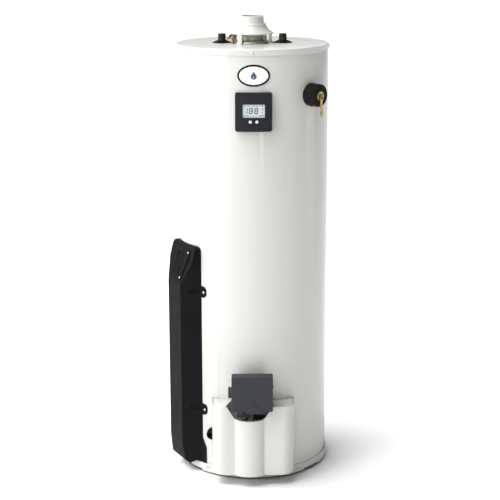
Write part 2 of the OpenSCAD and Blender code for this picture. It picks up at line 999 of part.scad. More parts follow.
module relief_lever() {
  arm_t = 1.6;
  arm_in = 3.3;
  strap_top = -10;
  strap_end = -62;
  color("DarkGoldenrod")
    rotate([0, 0, relief_az])
      translate([0, -relief_pivot, relief_z])
        difference() {
          union() {
            for (side = [-1, 1])
              translate([side > 0 ? arm_in : -arm_in - arm_t, 0, 0]) {
                along_x(0, 0, 0, arm_t, 3.6);
                translate([0, -3, -14]) cube([arm_t, 5, 14]);
              }
            translate([-7.5, -3, strap_end]) cube([15, 2, strap_top - strap_end]);
            along_y(0, strap_end, -3, -1, 7.5);
          }
          along_x(0, 0, -7, 7, pin_r + run);
          along_y(0, strap_end, -4, 0, 3);
        }
}

// ---------- drain valve ----------

module drain_valve_body() {
  az = drain_az;
  z = drain_z;
  color("WhiteSmoke")
    difference() {
      union() {
        radial(az, z, tank_r - 3, 248, nipple_r);
        radial(az, z, 246, drain_knob_d0 - 0.5, 19);
        radial(az, z, 254, drain_knob_d1 + 0.8, drain_journal);
        radial(az, z, drain_knob_d1 + 0.7, drain_tip, hose_r);
      }
      radial(az, z, 236, drain_tip + 1, 8);
    }
}

module drain_knob() {
  color([0.07, 0.07, 0.08])
    difference() {
      radial(drain_az, drain_z, drain_knob_d0, drain_knob_d1, 20);
      radial(drain_az, drain_z, drain_knob_d0 - 1, drain_knob_d1 + 1, drain_journal + run);
      rotate([0, 0, drain_az])
        translate([0, 0, drain_z])
          for (i = [0:7])
            rotate([0, i * 45, 0])
              translate([0, 0, 22])
                along_y(0, 0, -drain_knob_d1 - 1, -drain_knob_d0 + 1, 4);
    }
}

// ---------- top fittings ----------

module pipe_rosettes() {
  color([0.04, 0.04, 0.05])
    for (x = [-nipple_x, nipple_x])
      translate([x, 0, deck_z])
        rotate_extrude()
          polygon([
            [nipple_r + 0.1, 0], [rosette_r, 0], [rosette_r, 1.5],
            [18, rosette_h], [nipple_r + 0.1, rosette_h]
          ]);
}

module draft_hood() {
  t = 1.2;
  top = deck_z + vent_h;
  neck = 45.8;
  flare = bell_r - neck;
  flare_h = 17;
  z_lip = deck_z + 30;
  z_bell = z_lip + 3;
  // concave flare, from the lip up to the neck
  outer = [for (i = [0:10]) [bell_r - flare * sin(i * 9), z_bell + flare_h * (1 - cos(i * 9))]];
  inner = [for (i = [10:-1:0]) [outer[i].x - t, outer[i].y]];
  color("WhiteSmoke")
    rotate_extrude()
      polygon(concat(
        [[bell_r, z_lip]], outer,
        [[neck, top - 27], [vent_r, top - 23], [vent_r, top], [vent_r - t, top],
         [vent_r - t, top - 24], [neck - t, top - 28]],
        inner, [[bell_r - t, z_lip]]
      ));
}

module hood_legs() {
  color("WhiteSmoke")
    for (az = leg_az) {
      a = 6.8;
      sector(bell_r + 0.2, bell_r + 1.7, deck_z, deck_z + 33, az - a, az + a);
      sector(bell_r + 0.2, bell_r + 12, deck_z, deck_z + 1.5, az - a, az + a);
      radial(az, deck_z + 31.5, bell_r + 1.6, bell_r + 3, 2.5);
    }
}

module damper_body() {
  color([0.5, 0.52, 0.45])
    difference() {
      rotate_extrude()
        polygon([
          [drum_r + 3, deck_z], [68, deck_z], [68, deck_z + 2], [66, deck_z + 7],
          [drum_r, deck_z + 8], [drum_r, deck_z + 24], [drum_r - drum_wall, deck_z + 24],
          [drum_r - drum_wall, deck_z + 6.5], [64.6, deck_z + 5.5], [66, deck_z + 1.5],
          [drum_r + 3, deck_z + 1.5]
        ]);
      along_y(0, damper_z, -50, 50, shaft_r + run);
    }
}

module damper_plate() {
  color("LightGray")
    difference() {
      translate([0, 0, damper_z + 3]) cylinder(r = drum_r - drum_wall - 1.5, h = 1.2);
      translate([0, 0, damper_z]) for (y = [-20, 20]) translate([0, y, 0]) cylinder(r = 1.6, h = 8);
    }
}

module damper_shaft() {
  color("Silver") {
    along_y(0, damper_z, -44, 58, shaft_r);
    for (y = [-20, 20])
      translate([0, y, damper_z]) cylinder(r = 1.5, h = 6);
    for (y = [-20, 20])
      translate([0, y, damper_z + 4.3]) cylinder(r = 3, h = 2);
  }
}

module damper_motor() {
  color("DimGray")
    difference() {
      union() {
        translate([-22, 52, deck_z + 4]) cube([44, 42, 25]);
        translate([-14, 54, deck_z]) cube([28, 38, 5]);
      }
      // room for the damper's flange
      translate([0, 0, deck_z - 1]) cylinder(r = 68.4, h = 9.4);
      along_y(0, damper_z, 50, 60, shaft_r + run);
    }
}

module damper_wires() {
  routes = [
    [[-22, 74, 1476], [-46, 70, 1478], [-68, 50, 1476], [-78, 20, 1474],
     [-72, -6, 1482], [-66, -24, 1482], [-65, -38, 1470], [-65, -40, 1452]],
    [[-22, 79, 1471], [-50, 76, 1472], [-73, 52, 1471], [-82, 20, 1468],
     [-76, -10, 1469], [-68, -30, 1469], [-62, -38, 1462], [-62, -41, 1452]],
    [[-22, 84, 1466], [-54, 82, 1467], [-78, 54, 1467], [-86, 24, 1466],
     [-80, -14, 1466], [-71, -34, 1464], [-66, -43, 1459], [-65, -43, 1452]]
  ];
  shades = ["Green", "SaddleBrown", "DarkOrange"];
  for (i = [0:2])
    color(shades[i]) sweep(routes[i], 1.5);
}

base_pan();
base_ring();
combustion_skirt();
flame_arrestor();
burner();
manifold_tube();
pilot_tube();
pilot_burner();
inner_door();
door_gasket();
sight_glass();
door_screws();
tank_shell();
bottom_head();
top_head();
flue_tube();
flue_baffle();
tank_spuds();
cold_nipple();
hot_nipple();
dip_tube();
anode_rod();
foam_insulation();
jacket();
top_cover();
top_cover_screws();
air_sleeve();
duct_cover();
duct_panel();
duct_screws();
intake_plate();
burner_cover();
gas_valve_body();
thermostat_shank();
gas_cover();
gas_knob();
control_plug();
display_housing();
display_backplate();
circuit_board();
lcd_panel();
lcd_window();
button_left();
button_right();
control_harness();
badge();
relief_valve_body();
relief_boot();
relief_stem();
relief_lever();
drain_valve_body();
drain_knob();
pipe_rosettes();
draft_hood();
hood_legs();
damper_body();
damper_plate();
damper_shaft();
damper_motor();
damper_wires();
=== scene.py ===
"""Looks of the tank water heater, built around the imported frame. All lengths are metres.

An azimuth is measured in degrees from the front (-Y), positive towards +X, as in the CAD source.
"""
import json
import math

import bmesh
import bpy
from mathutils import Matrix, Vector


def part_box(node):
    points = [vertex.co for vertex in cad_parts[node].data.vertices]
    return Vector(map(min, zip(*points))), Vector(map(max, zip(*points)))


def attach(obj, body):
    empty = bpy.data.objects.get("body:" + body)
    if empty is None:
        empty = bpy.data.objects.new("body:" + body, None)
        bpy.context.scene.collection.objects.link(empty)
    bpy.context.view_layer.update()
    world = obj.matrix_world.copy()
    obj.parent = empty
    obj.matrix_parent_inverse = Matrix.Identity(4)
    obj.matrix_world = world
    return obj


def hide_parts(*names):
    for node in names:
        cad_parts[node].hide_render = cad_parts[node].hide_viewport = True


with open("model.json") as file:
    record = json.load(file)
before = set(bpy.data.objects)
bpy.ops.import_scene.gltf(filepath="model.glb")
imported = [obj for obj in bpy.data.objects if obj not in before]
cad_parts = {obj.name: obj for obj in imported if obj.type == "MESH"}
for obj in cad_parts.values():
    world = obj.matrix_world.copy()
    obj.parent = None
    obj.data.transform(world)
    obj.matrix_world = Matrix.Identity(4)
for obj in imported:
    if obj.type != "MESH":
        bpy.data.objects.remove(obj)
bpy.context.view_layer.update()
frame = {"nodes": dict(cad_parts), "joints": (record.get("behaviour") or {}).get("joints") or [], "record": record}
MM = 0.001

# ---------- driving sizes, read from the frame ----------


BOXES = {}


def node_box(node):
    if node not in BOXES:
        BOXES[node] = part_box(node)
    return BOXES[node]


def low(node):
    return Vector(node_box(node)[0])


def high(node):
    return Vector(node_box(node)[1])


MOUNTS = {m["name"]: m for m in frame["record"]["mounts"]}
JOINTS = {j["name"]: j for j in frame["joints"]}
SLOT_OF = {s["node"]: s["material_slot"] for s in frame["record"]["subparts"]}
BODY_OF = {n: b for b, names in frame["record"]["behaviour"]["bodies"].items() for n in names}

JACKET_R = high("jacket").x
DECK_Z = high("top_cover").z
RIM_R = high("top_cover").x
SHEET = 1.2 * MM
NIPPLE_X = MOUNTS["hot_outlet"]["pos_m"][0]
DUCT_AZ = -62.0
RELIEF_AZ = 48.0
RELIEF_Z = JOINTS["relief_lever_swing"]["pos_m"][2]
DRAIN_AZ = -32.5
DRAIN_Z = JOINTS["drain_knob_turn"]["pos_m"][2]
THERMOSTAT_Z = 330 * MM
LEG_AZ = [-125, -35, 55, 145]

# ---------- geometry helpers ----------


def out(az):
    """Unit vector that points outwards at an azimuth."""
    a = math.radians(az)
    return Vector((math.sin(a), -math.cos(a), 0))


def along(az):
    """Unit vector along the jacket at an azimuth, towards growing azimuths."""
    a = math.radians(az)
    return Vector((math.cos(a), math.sin(a), 0))


def at(az, dist, z):
    return out(az) * dist + Vector((0, 0, z))


def facing(az, dist, z):
    """Local X runs along the jacket, local Y up and local Z outwards."""
    m = Matrix((along(az), Vector((0, 0, 1)), out(az))).transposed().to_4x4()
    m.translation = at(az, dist, z)
    return m


def aimed(axis, place, spin=0.0):
    """Local Z points along an axis."""
    turn = Vector(axis).to_track_quat("Z", "Y").to_matrix().to_4x4()
    return Matrix.Translation(Vector(place)) @ turn @ Matrix.Rotation(math.radians(spin), 4, "Z")


def build(name, verts, faces):
    mesh = bpy.data.meshes.new(name)
    mesh.from_pydata([tuple(v) for v in verts], [], faces)
    obj = bpy.data.objects.new(name, mesh)
    bpy.context.scene.collection.objects.link(obj)
    bm = bmesh.new()
    bm.from_mesh(mesh)
    bmesh.ops.remove_doubles(bm, verts=bm.verts, dist=1e-6)
    bmesh.ops.dissolve_degenerate(bm, edges=bm.edges, dist=1e-6)
    bmesh.ops.recalc_face_normals(bm, faces=bm.faces)
    bm.to_mesh(mesh)
    bm.free()
    return obj


def loft(name, rings, capped=True):
    """A skin through closed rings that all have the same number of points."""
    n = len(rings[0])
    faces = []
    for i in range(len(rings) - 1):
        for k in range(n):
            a = i * n
            k2 = (k + 1) % n
            faces.append((a + k, a + k2, a + n + k2, a + n + k))
    if capped:
        faces.append(tuple(range(n)))
        faces.append(tuple(range((len(rings) - 1) * n, len(rings) * n)))
    return build(name, [p for ring in rings for p in ring], faces)


def round_corners(points, radius, steps=4):
    """A closed outline with each corner replaced by a short curve. radius may be one per point."""
    result = []
    n = len(points)
    for i in range(n):
        p = Vector(points[i])
        a = Vector(points[i - 1]) - p
        b = Vector(points[(i + 1) % n]) - p
        r = radius[i] if isinstance(radius, (list, tuple)) else radius
        half = a.angle(b, math.pi) / 2
        reach = min(r / max(math.tan(half), 1e-6), 0.48 * a.length, 0.48 * b.length)
        if r <= 0 or reach < 1e-7 or half > math.radians(89):
            result.append(p)
            continue
        start = p + a.normalized() * reach
        end = p + b.normalized() * reach
        for k in range(steps + 1):
            t = k / steps
            result.append(start * (1 - t) ** 2 + p * (2 * t * (1 - t)) + end * t * t)
    return result


def inset(points, d):
    """A closed outline moved inwards by d."""
    n = len(points)
    pts = [Vector(p) for p in points]
    area = sum(pts[i - 1].x * pts[i].y - pts[i].x * pts[i - 1].y for i in range(n))
    sign = 1 if area > 0 else -1
    result = []
    for i in range(n):
        a = (pts[i] - pts[i - 1]).normalized()
        b = (pts[(i + 1) % n] - pts[i]).normalized()
        na = Vector((-a.y, a.x)) * sign
        nb = Vector((-b.y, b.x)) * sign
        m = na + nb
        m = m.normalized() if m.length > 1e-6 else na
        result.append(pts[i] + m * (d / max(m.dot(na), 0.35)))
    return result


def lathe(name, profile, start=0.0, end=360.0, steps=128):
    """A closed profile of (radius, z) turned about the tank's axis."""
    full = end - start >= 360
    rings = []
    for i in range(steps + 1):
        a = math.radians(start + (end - start) * i / steps)
        rings.append([(p[0] * math.sin(a), -p[0] * math.cos(a), p[1]) for p in profile])
    return loft(name, rings, capped=not full)


def wedge(name, r0, r1, z0, z1, az0, az1, steps=16):
    return lathe(name, [(r0, z0), (r1, z0), (r1, z1), (r0, z1)], az0, az1, steps)


def prism(name, outline, depth, edge=0.0, back_edge=0.0, steps=3):
    """An outline in local XY, from z = -depth to z = 0, with rounded front and back edges."""
    rings = []
    for k in range(steps + 1):
        a = math.pi / 2 * k / steps
        if back_edge > 0 or k == steps:
            ring = inset(outline, back_edge * (1 - math.sin(a)))
            z = -depth + back_edge * (1 - math.cos(a))
            rings.append([(p.x, p.y, z) for p in ring])
    for k in range(steps + 1):
        a = math.pi / 2 * k / steps
        if edge > 0 or k == 0:
            ring = inset(outline, edge * (1 - math.cos(a)))
            z = -edge * (1 - math.sin(a))
            rings.append([(p.x, p.y, z) for p in ring])
    return loft(name, rings)


def rectangle(w, h, x=0.0, y=0.0):
    return [(x - w / 2, y - h / 2), (x + w / 2, y - h / 2), (x + w / 2, y + h / 2), (x - w / 2, y + h / 2)]


def disc(r, n=48, rx=None, x=0.0, y=0.0):
    rx = rx or r
    return [(x + rx * math.cos(2 * math.pi * k / n), y + r * math.sin(2 * math.pi * k / n)) for k in range(n)]


def shift(obj, x, y, z):
    """Move an object's mesh."""
    obj.data.transform(Matrix.Translation((x, y, z)))


def paint(obj, material):
    """Give an object one material in place of its own."""
    obj.data.materials.clear()
    obj.data.materials.append(material)


def block(name, lo, hi, edge=0.0):
    """A box between two corners, its edges rounded."""
    obj = prism(name, rectangle(hi[0] - lo[0], hi[1] - lo[1]), hi[2] - lo[2])
    shift(obj, (lo[0] + hi[0]) / 2, (lo[1] + hi[1]) / 2, hi[2])
    if edge > 0:
        soften(obj, edge)
    return obj


def rod(name, a, b, r, n=32):
    """A plain round bar between two points."""
    a = Vector(a)
    b = Vector(b)
    obj = prism(name, disc(r, n), (b - a).length)
    obj.data.transform(aimed(b - a, b))
    return obj


def moved(obj, matrix):
    obj.data.transform(matrix)
    if matrix.is_negative:
        obj.data.flip_normals()
    return obj


def bake(obj):
    """Applies the object's modifiers to its mesh."""
    bpy.context.view_layer.update()
    depsgraph = bpy.context.evaluated_depsgraph_get()
    mesh = bpy.data.meshes.new_from_object(obj.evaluated_get(depsgraph))
    obj.modifiers.clear()
    obj.data = mesh
    return obj


def cut(obj, *tools, keep="DIFFERENCE"):
    for tool in tools:
        m = obj.modifiers.new("cut", "BOOLEAN")
        m.operation = keep
        m.object = tool
        m.solver = "EXACT"
        bake(obj)
        bpy.data.objects.remove(tool)
    return obj


def soften(obj, width, segments=2, angle=30):
    m = obj.modifiers.new("edges", "BEVEL")
    m.width = width
    m.segments = segments
    m.limit_method = "ANGLE"
    m.angle_limit = math.radians(angle)
    return bake(obj)


def join(name, *objs):
    """One object from several closed shells."""
    bm = bmesh.new()
    for o in objs:
        bm.from_mesh(o.data)
        bpy.data.objects.remove(o)
    mesh = bpy.data.meshes.new(name)
    bm.to_mesh(mesh)
    bm.free()
    obj = bpy.data.objects.new(name, mesh)
    bpy.context.scene.collection.objects.link(obj)
    return obj


def refined(node, width, segments=2, angle=30):
    """The CAD node's own shape as a new mesh, its flat faces whole and its edges rounded."""
    obj = bpy.data.objects.new(node + "_piece", frame["nodes"][node].data.copy())
    obj.data.materials.clear()
    bpy.context.scene.collection.objects.link(obj)
    bm = bmesh.new()
    bm.from_mesh(obj.data)
    bmesh.ops.remove_doubles(bm, verts=bm.verts, dist=1e-5)
    bmesh.ops.dissolve_limit(bm, angle_limit=math.radians(0.4), verts=bm.verts, edges=bm.edges)
    bm.to_mesh(obj.data)
    bm.free()
    if width > 0:
        soften(obj, width, segments, angle)
    return obj


def bend_to_cylinder(obj, radius, slices, width):
    """Bends a flat piece, whose face is local XY at z = 0, round the tank's axis."""
    bm = bmesh.new()
    bm.from_mesh(obj.data)
    for i in range(1, slices):
        x = -width / 2 + width * i / slices
        geom = bm.verts[:] + bm.edges[:] + bm.faces[:]
        bmesh.ops.bisect_plane(bm, geom=geom, plane_co=(x, 0, 0), plane_no=(1, 0, 0))
    for v in bm.verts:
        x, up, depth = v.co
        v.co = (x, -math.sqrt((radius + depth) ** 2 - x * x), up)
    bm.to_mesh(obj.data)
    bm.free()
    return obj


def place(obj, slot, *nodes, body=None, angle=35):
    """Gives a finished piece its material, its body and the CAD nodes that it stands for."""
    paint(obj, MATERIALS[slot])
    if obj.type == "MESH":
        for p in obj.data.polygons:
            p.use_smooth = True
        obj.data.set_sharp_from_angle(angle=math.radians(angle))
    if nodes:
        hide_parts(*nodes)
    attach(obj, body or (BODY_OF[nodes[0]] if nodes else "heater"))
    return obj


# ---------- materials ----------


class Nodes:
    """A short way to write a node tree."""

    def __init__(self, name):
        self.material = bpy.data.materials.new(name)
        self.material.use_nodes = True
        self.tree = self.material.node_tree
        self.shader = self.tree.nodes["Principled BSDF"]
        self.place = self.add("ShaderNodeTexCoord").outputs["Object"]

    def add(self, kind, **values):
        node = self.tree.nodes.new(kind)
        for key, value in values.items():
            if hasattr(node, key):
                setattr(node, key, value)
            else:
                node.inputs[key.replace("_", " ")].default_value = value
        return node

    def link(self, a, b):
        self.tree.links.new(a, b)

    def stretched(self, scale):
        node = self.add("ShaderNodeMapping")
        node.inputs["Scale"].default_value = scale
        self.link(self.place, node.inputs["Vector"])
        return node.outputs["Vector"]

    def noise(self, scale, detail=3.0, vector=None):
        node = self.add("ShaderNodeTexNoise", Scale=scale, Detail=detail)
        self.link(vector or self.place, node.inputs["Vector"])
        return node.outputs["Fac"]

    def cells(self, scale, output="Color", vector=None):
        node = self.add("ShaderNodeTexVoronoi", Scale=scale)
        self.link(vector or self.place, node.inputs["Vector"])
        return node.outputs[output]

    def spread(self, value, lo, hi, from_lo=0.3, from_hi=0.7):
        node = self.add("ShaderNodeMapRange")
        node.inputs["From Min"].default_value = from_lo
        node.inputs["From Max"].default_value = from_hi
        node.inputs["To Min"].default_value = lo
        node.inputs["To Max"].default_value = hi
        self.link(value, node.inputs["Value"])
        return node.outputs["Result"]

    def mix(self, fac, a, b):
        node = self.add("ShaderNodeMix", data_type="RGBA")
        self.link(fac, node.inputs["Factor"])
        for socket, value in ((node.inputs[6], a), (node.inputs[7], b)):
            if hasattr(value, "node"):
                self.link(value, socket)
            else:
                socket.default_value = (*value, 1)
        return node.outputs[2]

    def bump(self, height, strength, distance, under=None):
        node = self.add("ShaderNodeBump", Strength=strength, Distance=distance)
        self.link(height, node.inputs["Height"])
        if under is not None:
            self.link(under, node.inputs["Normal"])
        return node.outputs["Normal"]


def tinted(colour, by):
    return tuple(min(1.0, c * by) for c in colour)


def finish(name, colour, rough, metallic=0.0, coat=0.0, vary=0.05, patch=9.0, grain=0.0, grain_scale=900.0,
           grain_depth=0.05 * MM, rough_vary=0.05, stretch=None, specular=0.25, dirt=None):
    """A moulded, painted or plain metal surface: mottled colour, uneven roughness and fine relief."""
    n = Nodes(name)
    where = n.stretched(stretch) if stretch else None
    mottle = n.spread(n.noise(patch, 4.0, where), 0, 1)
    base = n.mix(mottle, tinted(colour, 1 - vary), tinted(colour, 1 + vary))
    if dirt:
        marks = n.spread(n.noise(patch * 5, 6.0, where), 0, dirt[1], 0.52, 0.72)
        base = n.mix(marks, base, dirt[0])
    n.link(base, n.shader.inputs["Base Color"])
    sheen = n.spread(n.noise(patch * 3, 3.0, where), rough - rough_vary, rough + rough_vary)
    n.link(sheen, n.shader.inputs["Roughness"])
    n.shader.inputs["Metallic"].default_value = metallic
    n.shader.inputs["Specular IOR Level"].default_value = specular
    n.shader.inputs["Coat Weight"].default_value = coat
    n.shader.inputs["Coat Roughness"].default_value = 0.12
    if grain > 0:
        relief = n.noise(grain_scale, 2.0, where)
        n.link(n.bump(relief, grain, grain_depth), n.shader.inputs["Normal"])
    return n.material


def zinc(name, colour, spangle=70.0, rough=0.38, grain=0.25):
    """Galvanised sheet: crystals of slightly different brightness."""
    n = Nodes(name)
    crystal = n.cells(spangle)
    grey = n.add("ShaderNodeSeparateColor")
    n.link(crystal, grey.inputs["Color"])
    base = n.mix(n.spread(grey.outputs[0], 0, 1, 0, 1), tinted(colour, 0.86), tinted(colour, 1.12))
    n.link(base, n.shader.inputs["Base Color"])
    n.link(n.spread(grey.outputs[1], rough - 0.08, rough + 0.1, 0, 1), n.shader.inputs["Roughness"])
    n.shader.inputs["Metallic"].default_value = 0.85
    n.link(n.bump(n.noise(400, 3.0), grain, 0.04 * MM), n.shader.inputs["Normal"])
    return n.material


def brass(name, colour, rough):
    """Machined brass with fine turning marks and a thin tarnish."""
    n = Nodes(name)
    tarnish = n.spread(n.noise(90, 5.0), 0, 0.7, 0.45, 0.75)
    base = n.mix(tarnish, colour, tinted(colour, 0.55))
    n.link(base, n.shader.inputs["Base Color"])
    n.link(n.spread(n.noise(60, 4.0), rough - 0.06, rough + 0.14), n.shader.inputs["Roughness"])
    n.shader.inputs["Metallic"].default_value = 1.0
    n.link(n.bump(n.noise(1500, 2.0), 0.2, 0.03 * MM), n.shader.inputs["Normal"])
    return n.material


def foam_rubber(name, colour):
    """Open foam: small round pores all over, sunk by the bump and painted darker in their middles as painted shade."""
    n = Nodes(name)
    pores = n.cells(520, "Distance")
    # each pore is painted darker towards its middle: painted shade in the pits
    base = n.mix(n.spread(pores, 0, 1, 0.1, 0.5), tinted(colour, 0.45), tinted(colour, 1.5))
    n.link(base, n.shader.inputs["Base Color"])
    n.link(n.spread(n.noise(30, 3.0), 0.78, 0.95), n.shader.inputs["Roughness"])
    n.shader.inputs["Specular IOR Level"].default_value = 0.25
    n.link(n.bump(pores, 0.7, 0.5 * MM), n.shader.inputs["Normal"])
    return n.material


def clear(name, colour, alpha):
    """A clear window with a faint haze."""
    n = Nodes(name)
    haze = n.spread(n.noise(60, 4.0), 0, 1)
    n.link(n.mix(haze, tinted(colour, 0.96), colour), n.shader.inputs["Base Color"])
    n.link(n.spread(n.noise(140, 4.0), 0.06, 0.12), n.shader.inputs["Roughness"])
    n.shader.inputs["Alpha"].default_value = alpha
    return n.material


WHITE = (0.63, 0.64, 0.61)
PALE_STEEL = (0.60, 0.61, 0.60)
MATERIALS = {
    "white_enamel": finish("white_enamel", WHITE, 0.3, coat=0.35, vary=0.008, patch=3.5, grain=0.05,
                           grain_scale=380, grain_depth=0.05 * MM, rough_vary=0.008),
    # base tray: galvanised steel, its colour kept far darker than plain galvanised as painted shade for the gap under
    # the base ring
    "galvanised_base": zinc("galvanised_base", (0.16, 0.17, 0.14), 60, 0.5),
    "raw_steel": finish("raw_steel", (0.17, 0.165, 0.165), 0.6, metallic=0.7, vary=0.18, patch=14, grain=0.3,
                        dirt=((0.16, 0.08, 0.05), 0.5)),
    "stainless": finish("stainless", (0.58, 0.57, 0.55), 0.32, metallic=1, vary=0.06, patch=20, grain=0.2,
                        stretch=(1, 1, 14)),
    "plated_steel": finish("plated_steel", (0.45, 0.42, 0.30), 0.35, metallic=0.9, vary=0.12, patch=40, grain=0.15),
    "aluminium_tube": finish("aluminium_tube", (0.62, 0.63, 0.63), 0.35, metallic=1, vary=0.06, patch=60, grain=0.15),
    "brass_fitting": brass("brass_fitting", (0.34, 0.25, 0.12), 0.22),
    "brass_lever": brass("brass_lever", (0.50, 0.38, 0.16), 0.36),
    "galvanised": zinc("galvanised", (0.52, 0.54, 0.53), 75),
    "galvanised_green": zinc("galvanised_green", (0.40, 0.43, 0.33), 60, 0.42),
    "fibre_gasket": finish("fibre_gasket", (0.66, 0.62, 0.52), 0.9, vary=0.12, patch=90, grain=0.6,
                           grain_scale=700, grain_depth=0.2 * MM),
    "sight_glass": clear("sight_glass", (0.72, 0.80, 0.82), 0.45),
    "zinc_screws": finish("zinc_screws", PALE_STEEL, 0.28, metallic=1, vary=0.1, patch=160, grain=0.2),
    "dark_nipple": finish("dark_nipple", (0.036, 0.036, 0.035), 0.42, metallic=0.3, vary=0.25, patch=60, grain=0.35,
                          grain_scale=600),
    "white_plastic": finish("white_plastic", (0.80, 0.80, 0.77), 0.32, vary=0.02, patch=30, grain=0.1),
    "anode_metal": finish("anode_metal", (0.40, 0.41, 0.42), 0.62, metallic=0.8, vary=0.2, patch=60, grain=0.5),
    "foam": finish("foam", (0.72, 0.60, 0.30), 0.85, vary=0.1, patch=25, grain=0.8, grain_scale=260,
                   grain_depth=0.8 * MM),
    "black_plastic": finish("black_plastic", (0.0060, 0.0066, 0.0072), 0.62, vary=0.12, patch=12, grain=0.3,
                            grain_scale=1100, grain_depth=0.08 * MM, specular=0.08),
    "grey_plastic": finish("grey_plastic", (0.030, 0.032, 0.037), 0.46, vary=0.05, patch=14, grain=0.2,
                           grain_scale=1200, grain_depth=0.05 * MM),
    "dark_plastic": finish("dark_plastic", (0.019, 0.020, 0.024), 0.55, vary=0.05, patch=18, grain=0.25,
                           grain_scale=1300, grain_depth=0.05 * MM, specular=0.12),
    "cast_aluminium": finish("cast_aluminium", (0.07, 0.07, 0.065), 0.55, metallic=0.85, vary=0.1, patch=50, grain=0.6,
                             grain_scale=600, grain_depth=0.12 * MM),
    "circuit_board": finish("circuit_board", (0.02, 0.13, 0.05), 0.35, vary=0.3, patch=160, grain=0.2),
    "lcd": finish("lcd", (0.60, 0.67, 0.70), 0.3, vary=0.03, patch=40, grain=0.05),
    "lcd_window": clear("lcd_window", (0.86, 0.92, 0.94), 0.12),
    "cable_black": finish("cable_black", (0.02, 0.02, 0.02), 0.5, vary=0.1, patch=80, grain=0.2),
    "badge": finish("badge", (0.86, 0.88, 0.85), 0.25, coat=0.5, vary=0.015, patch=40, grain=0.04),
    "black_foam": foam_rubber("black_foam", (0.0035, 0.0030, 0.0035)),
    "motor_case": finish("motor_case", (0.09, 0.09, 0.10), 0.5, vary=0.08, patch=40, grain=0.3),
    "wires": finish("wires", (0.03, 0.16, 0.05), 0.4, vary=0.1, patch=120, grain=0.1),
}
EXTRA = {
    "badge_slate": finish("badge_slate", (0.06, 0.10, 0.16), 0.3, coat=0.2, vary=0.06, patch=40, grain=0.04),
    "badge_dark": finish("badge_dark", (0.004, 0.004, 0.004), 0.35, vary=0.1, patch=60, grain=0.04,
                         specular=0.1),
    "lcd_ink": finish("lcd_ink", (0.010, 0.013, 0.016), 0.4, vary=0.1, patch=80, grain=0.05),
    "wire_brown": finish("wire_brown", (0.20, 0.055, 0.02), 0.4, vary=0.1, patch=120, grain=0.1),
    "wire_orange": finish("wire_orange", (0.62, 0.27, 0.04), 0.4, vary=0.1, patch=120, grain=0.1),
    # near-black for the pipe rosettes: partly their own black plastic, partly painted shade round the pipes
    "black_with_painted_shade": finish("black_with_painted_shade", (0.002, 0.002, 0.002), 0.6, vary=0.15, patch=40, grain=0.2, specular=0.05),
}
for cad_node, cad_object in frame["nodes"].items():
    paint(cad_object, MATERIALS[SLOT_OF[cad_node]])

# ---------- casing ----------


def radial_hole(az, z, r, near, far):
    return rod("tool", at(az, near, z), at(az, far, z), r)


def make_jacket():
    z0 = low("jacket").z
    z1 = high("jacket").z
    inner = JACKET_R - SHEET
    wall = round_corners([(inner, z0), (JACKET_R, z0), (JACKET_R, z1), (inner, z1)], 0.3 * MM, 2)
    shell = lathe("jacket_wall", wall, steps=288)
    for az, z, r in ((RELIEF_AZ, RELIEF_Z, 22), (DRAIN_AZ, DRAIN_Z, 22), (0, THERMOSTAT_Z, 20)):
        cut(shell, radial_hole(az, z, r * MM, 0.23, 0.27))
    cut(shell, wedge("tool", 0.24, 0.26, 0.040, 0.125, -26, 26))
    cut(shell, wedge("tool", 0.24, 0.26, 0.040, 0.060, DUCT_AZ - 12, DUCT_AZ + 12))
    for z in (1.262, 0.372):
        cut(shell, rod("tool", (0.030, -0.262, z), (0.030, -0.240, z), 0.005))
    # folded seam down the back
    fold = [(inner, z0), (JACKET_R + 0.8 * MM, z0), (JACKET_R + 0.8 * MM, z1), (inner, z1)]
    seam = lathe("seam", round_corners(fold, 0.3 * MM, 2), 178.2, 181.8, 10)
    place(join("jacket_shell", shell, seam), "white_enamel", "jacket")


def make_top_cover():
    hole_r = 51.1 * MM
    lip = JACKET_R + 0.3 * MM
    skirt = low("top_cover").z
    under = DECK_Z - SHEET
    profile = [(hole_r, under), (lip, under), (lip, skirt), (RIM_R, skirt), (RIM_R + 0.5 * MM, skirt + 1.2 * MM),
               (RIM_R, skirt + 2.6 * MM), (RIM_R, DECK_Z), (hole_r, DECK_Z)]
    radii = [0.2 * MM, 2.4 * MM, 0.2 * MM, 0.6 * MM, 0.6 * MM, 0.6 * MM, 3.2 * MM, 0.5 * MM]
    lid = lathe("top_cover_lid", round_corners(profile, radii, 5), steps=288)
    for x in (-NIPPLE_X, NIPPLE_X):
        cut(lid, rod("tool", (x, 0, DECK_Z - 0.005), (x, 0, DECK_Z + 0.005), 13.63 * MM, 48))
    cut(lid, rod("tool", (-0.064, -0.040, DECK_Z - 0.005), (-0.064, -0.040, DECK_Z + 0.005), 5.5 * MM))
    place(lid, "white_enamel", "top_cover")


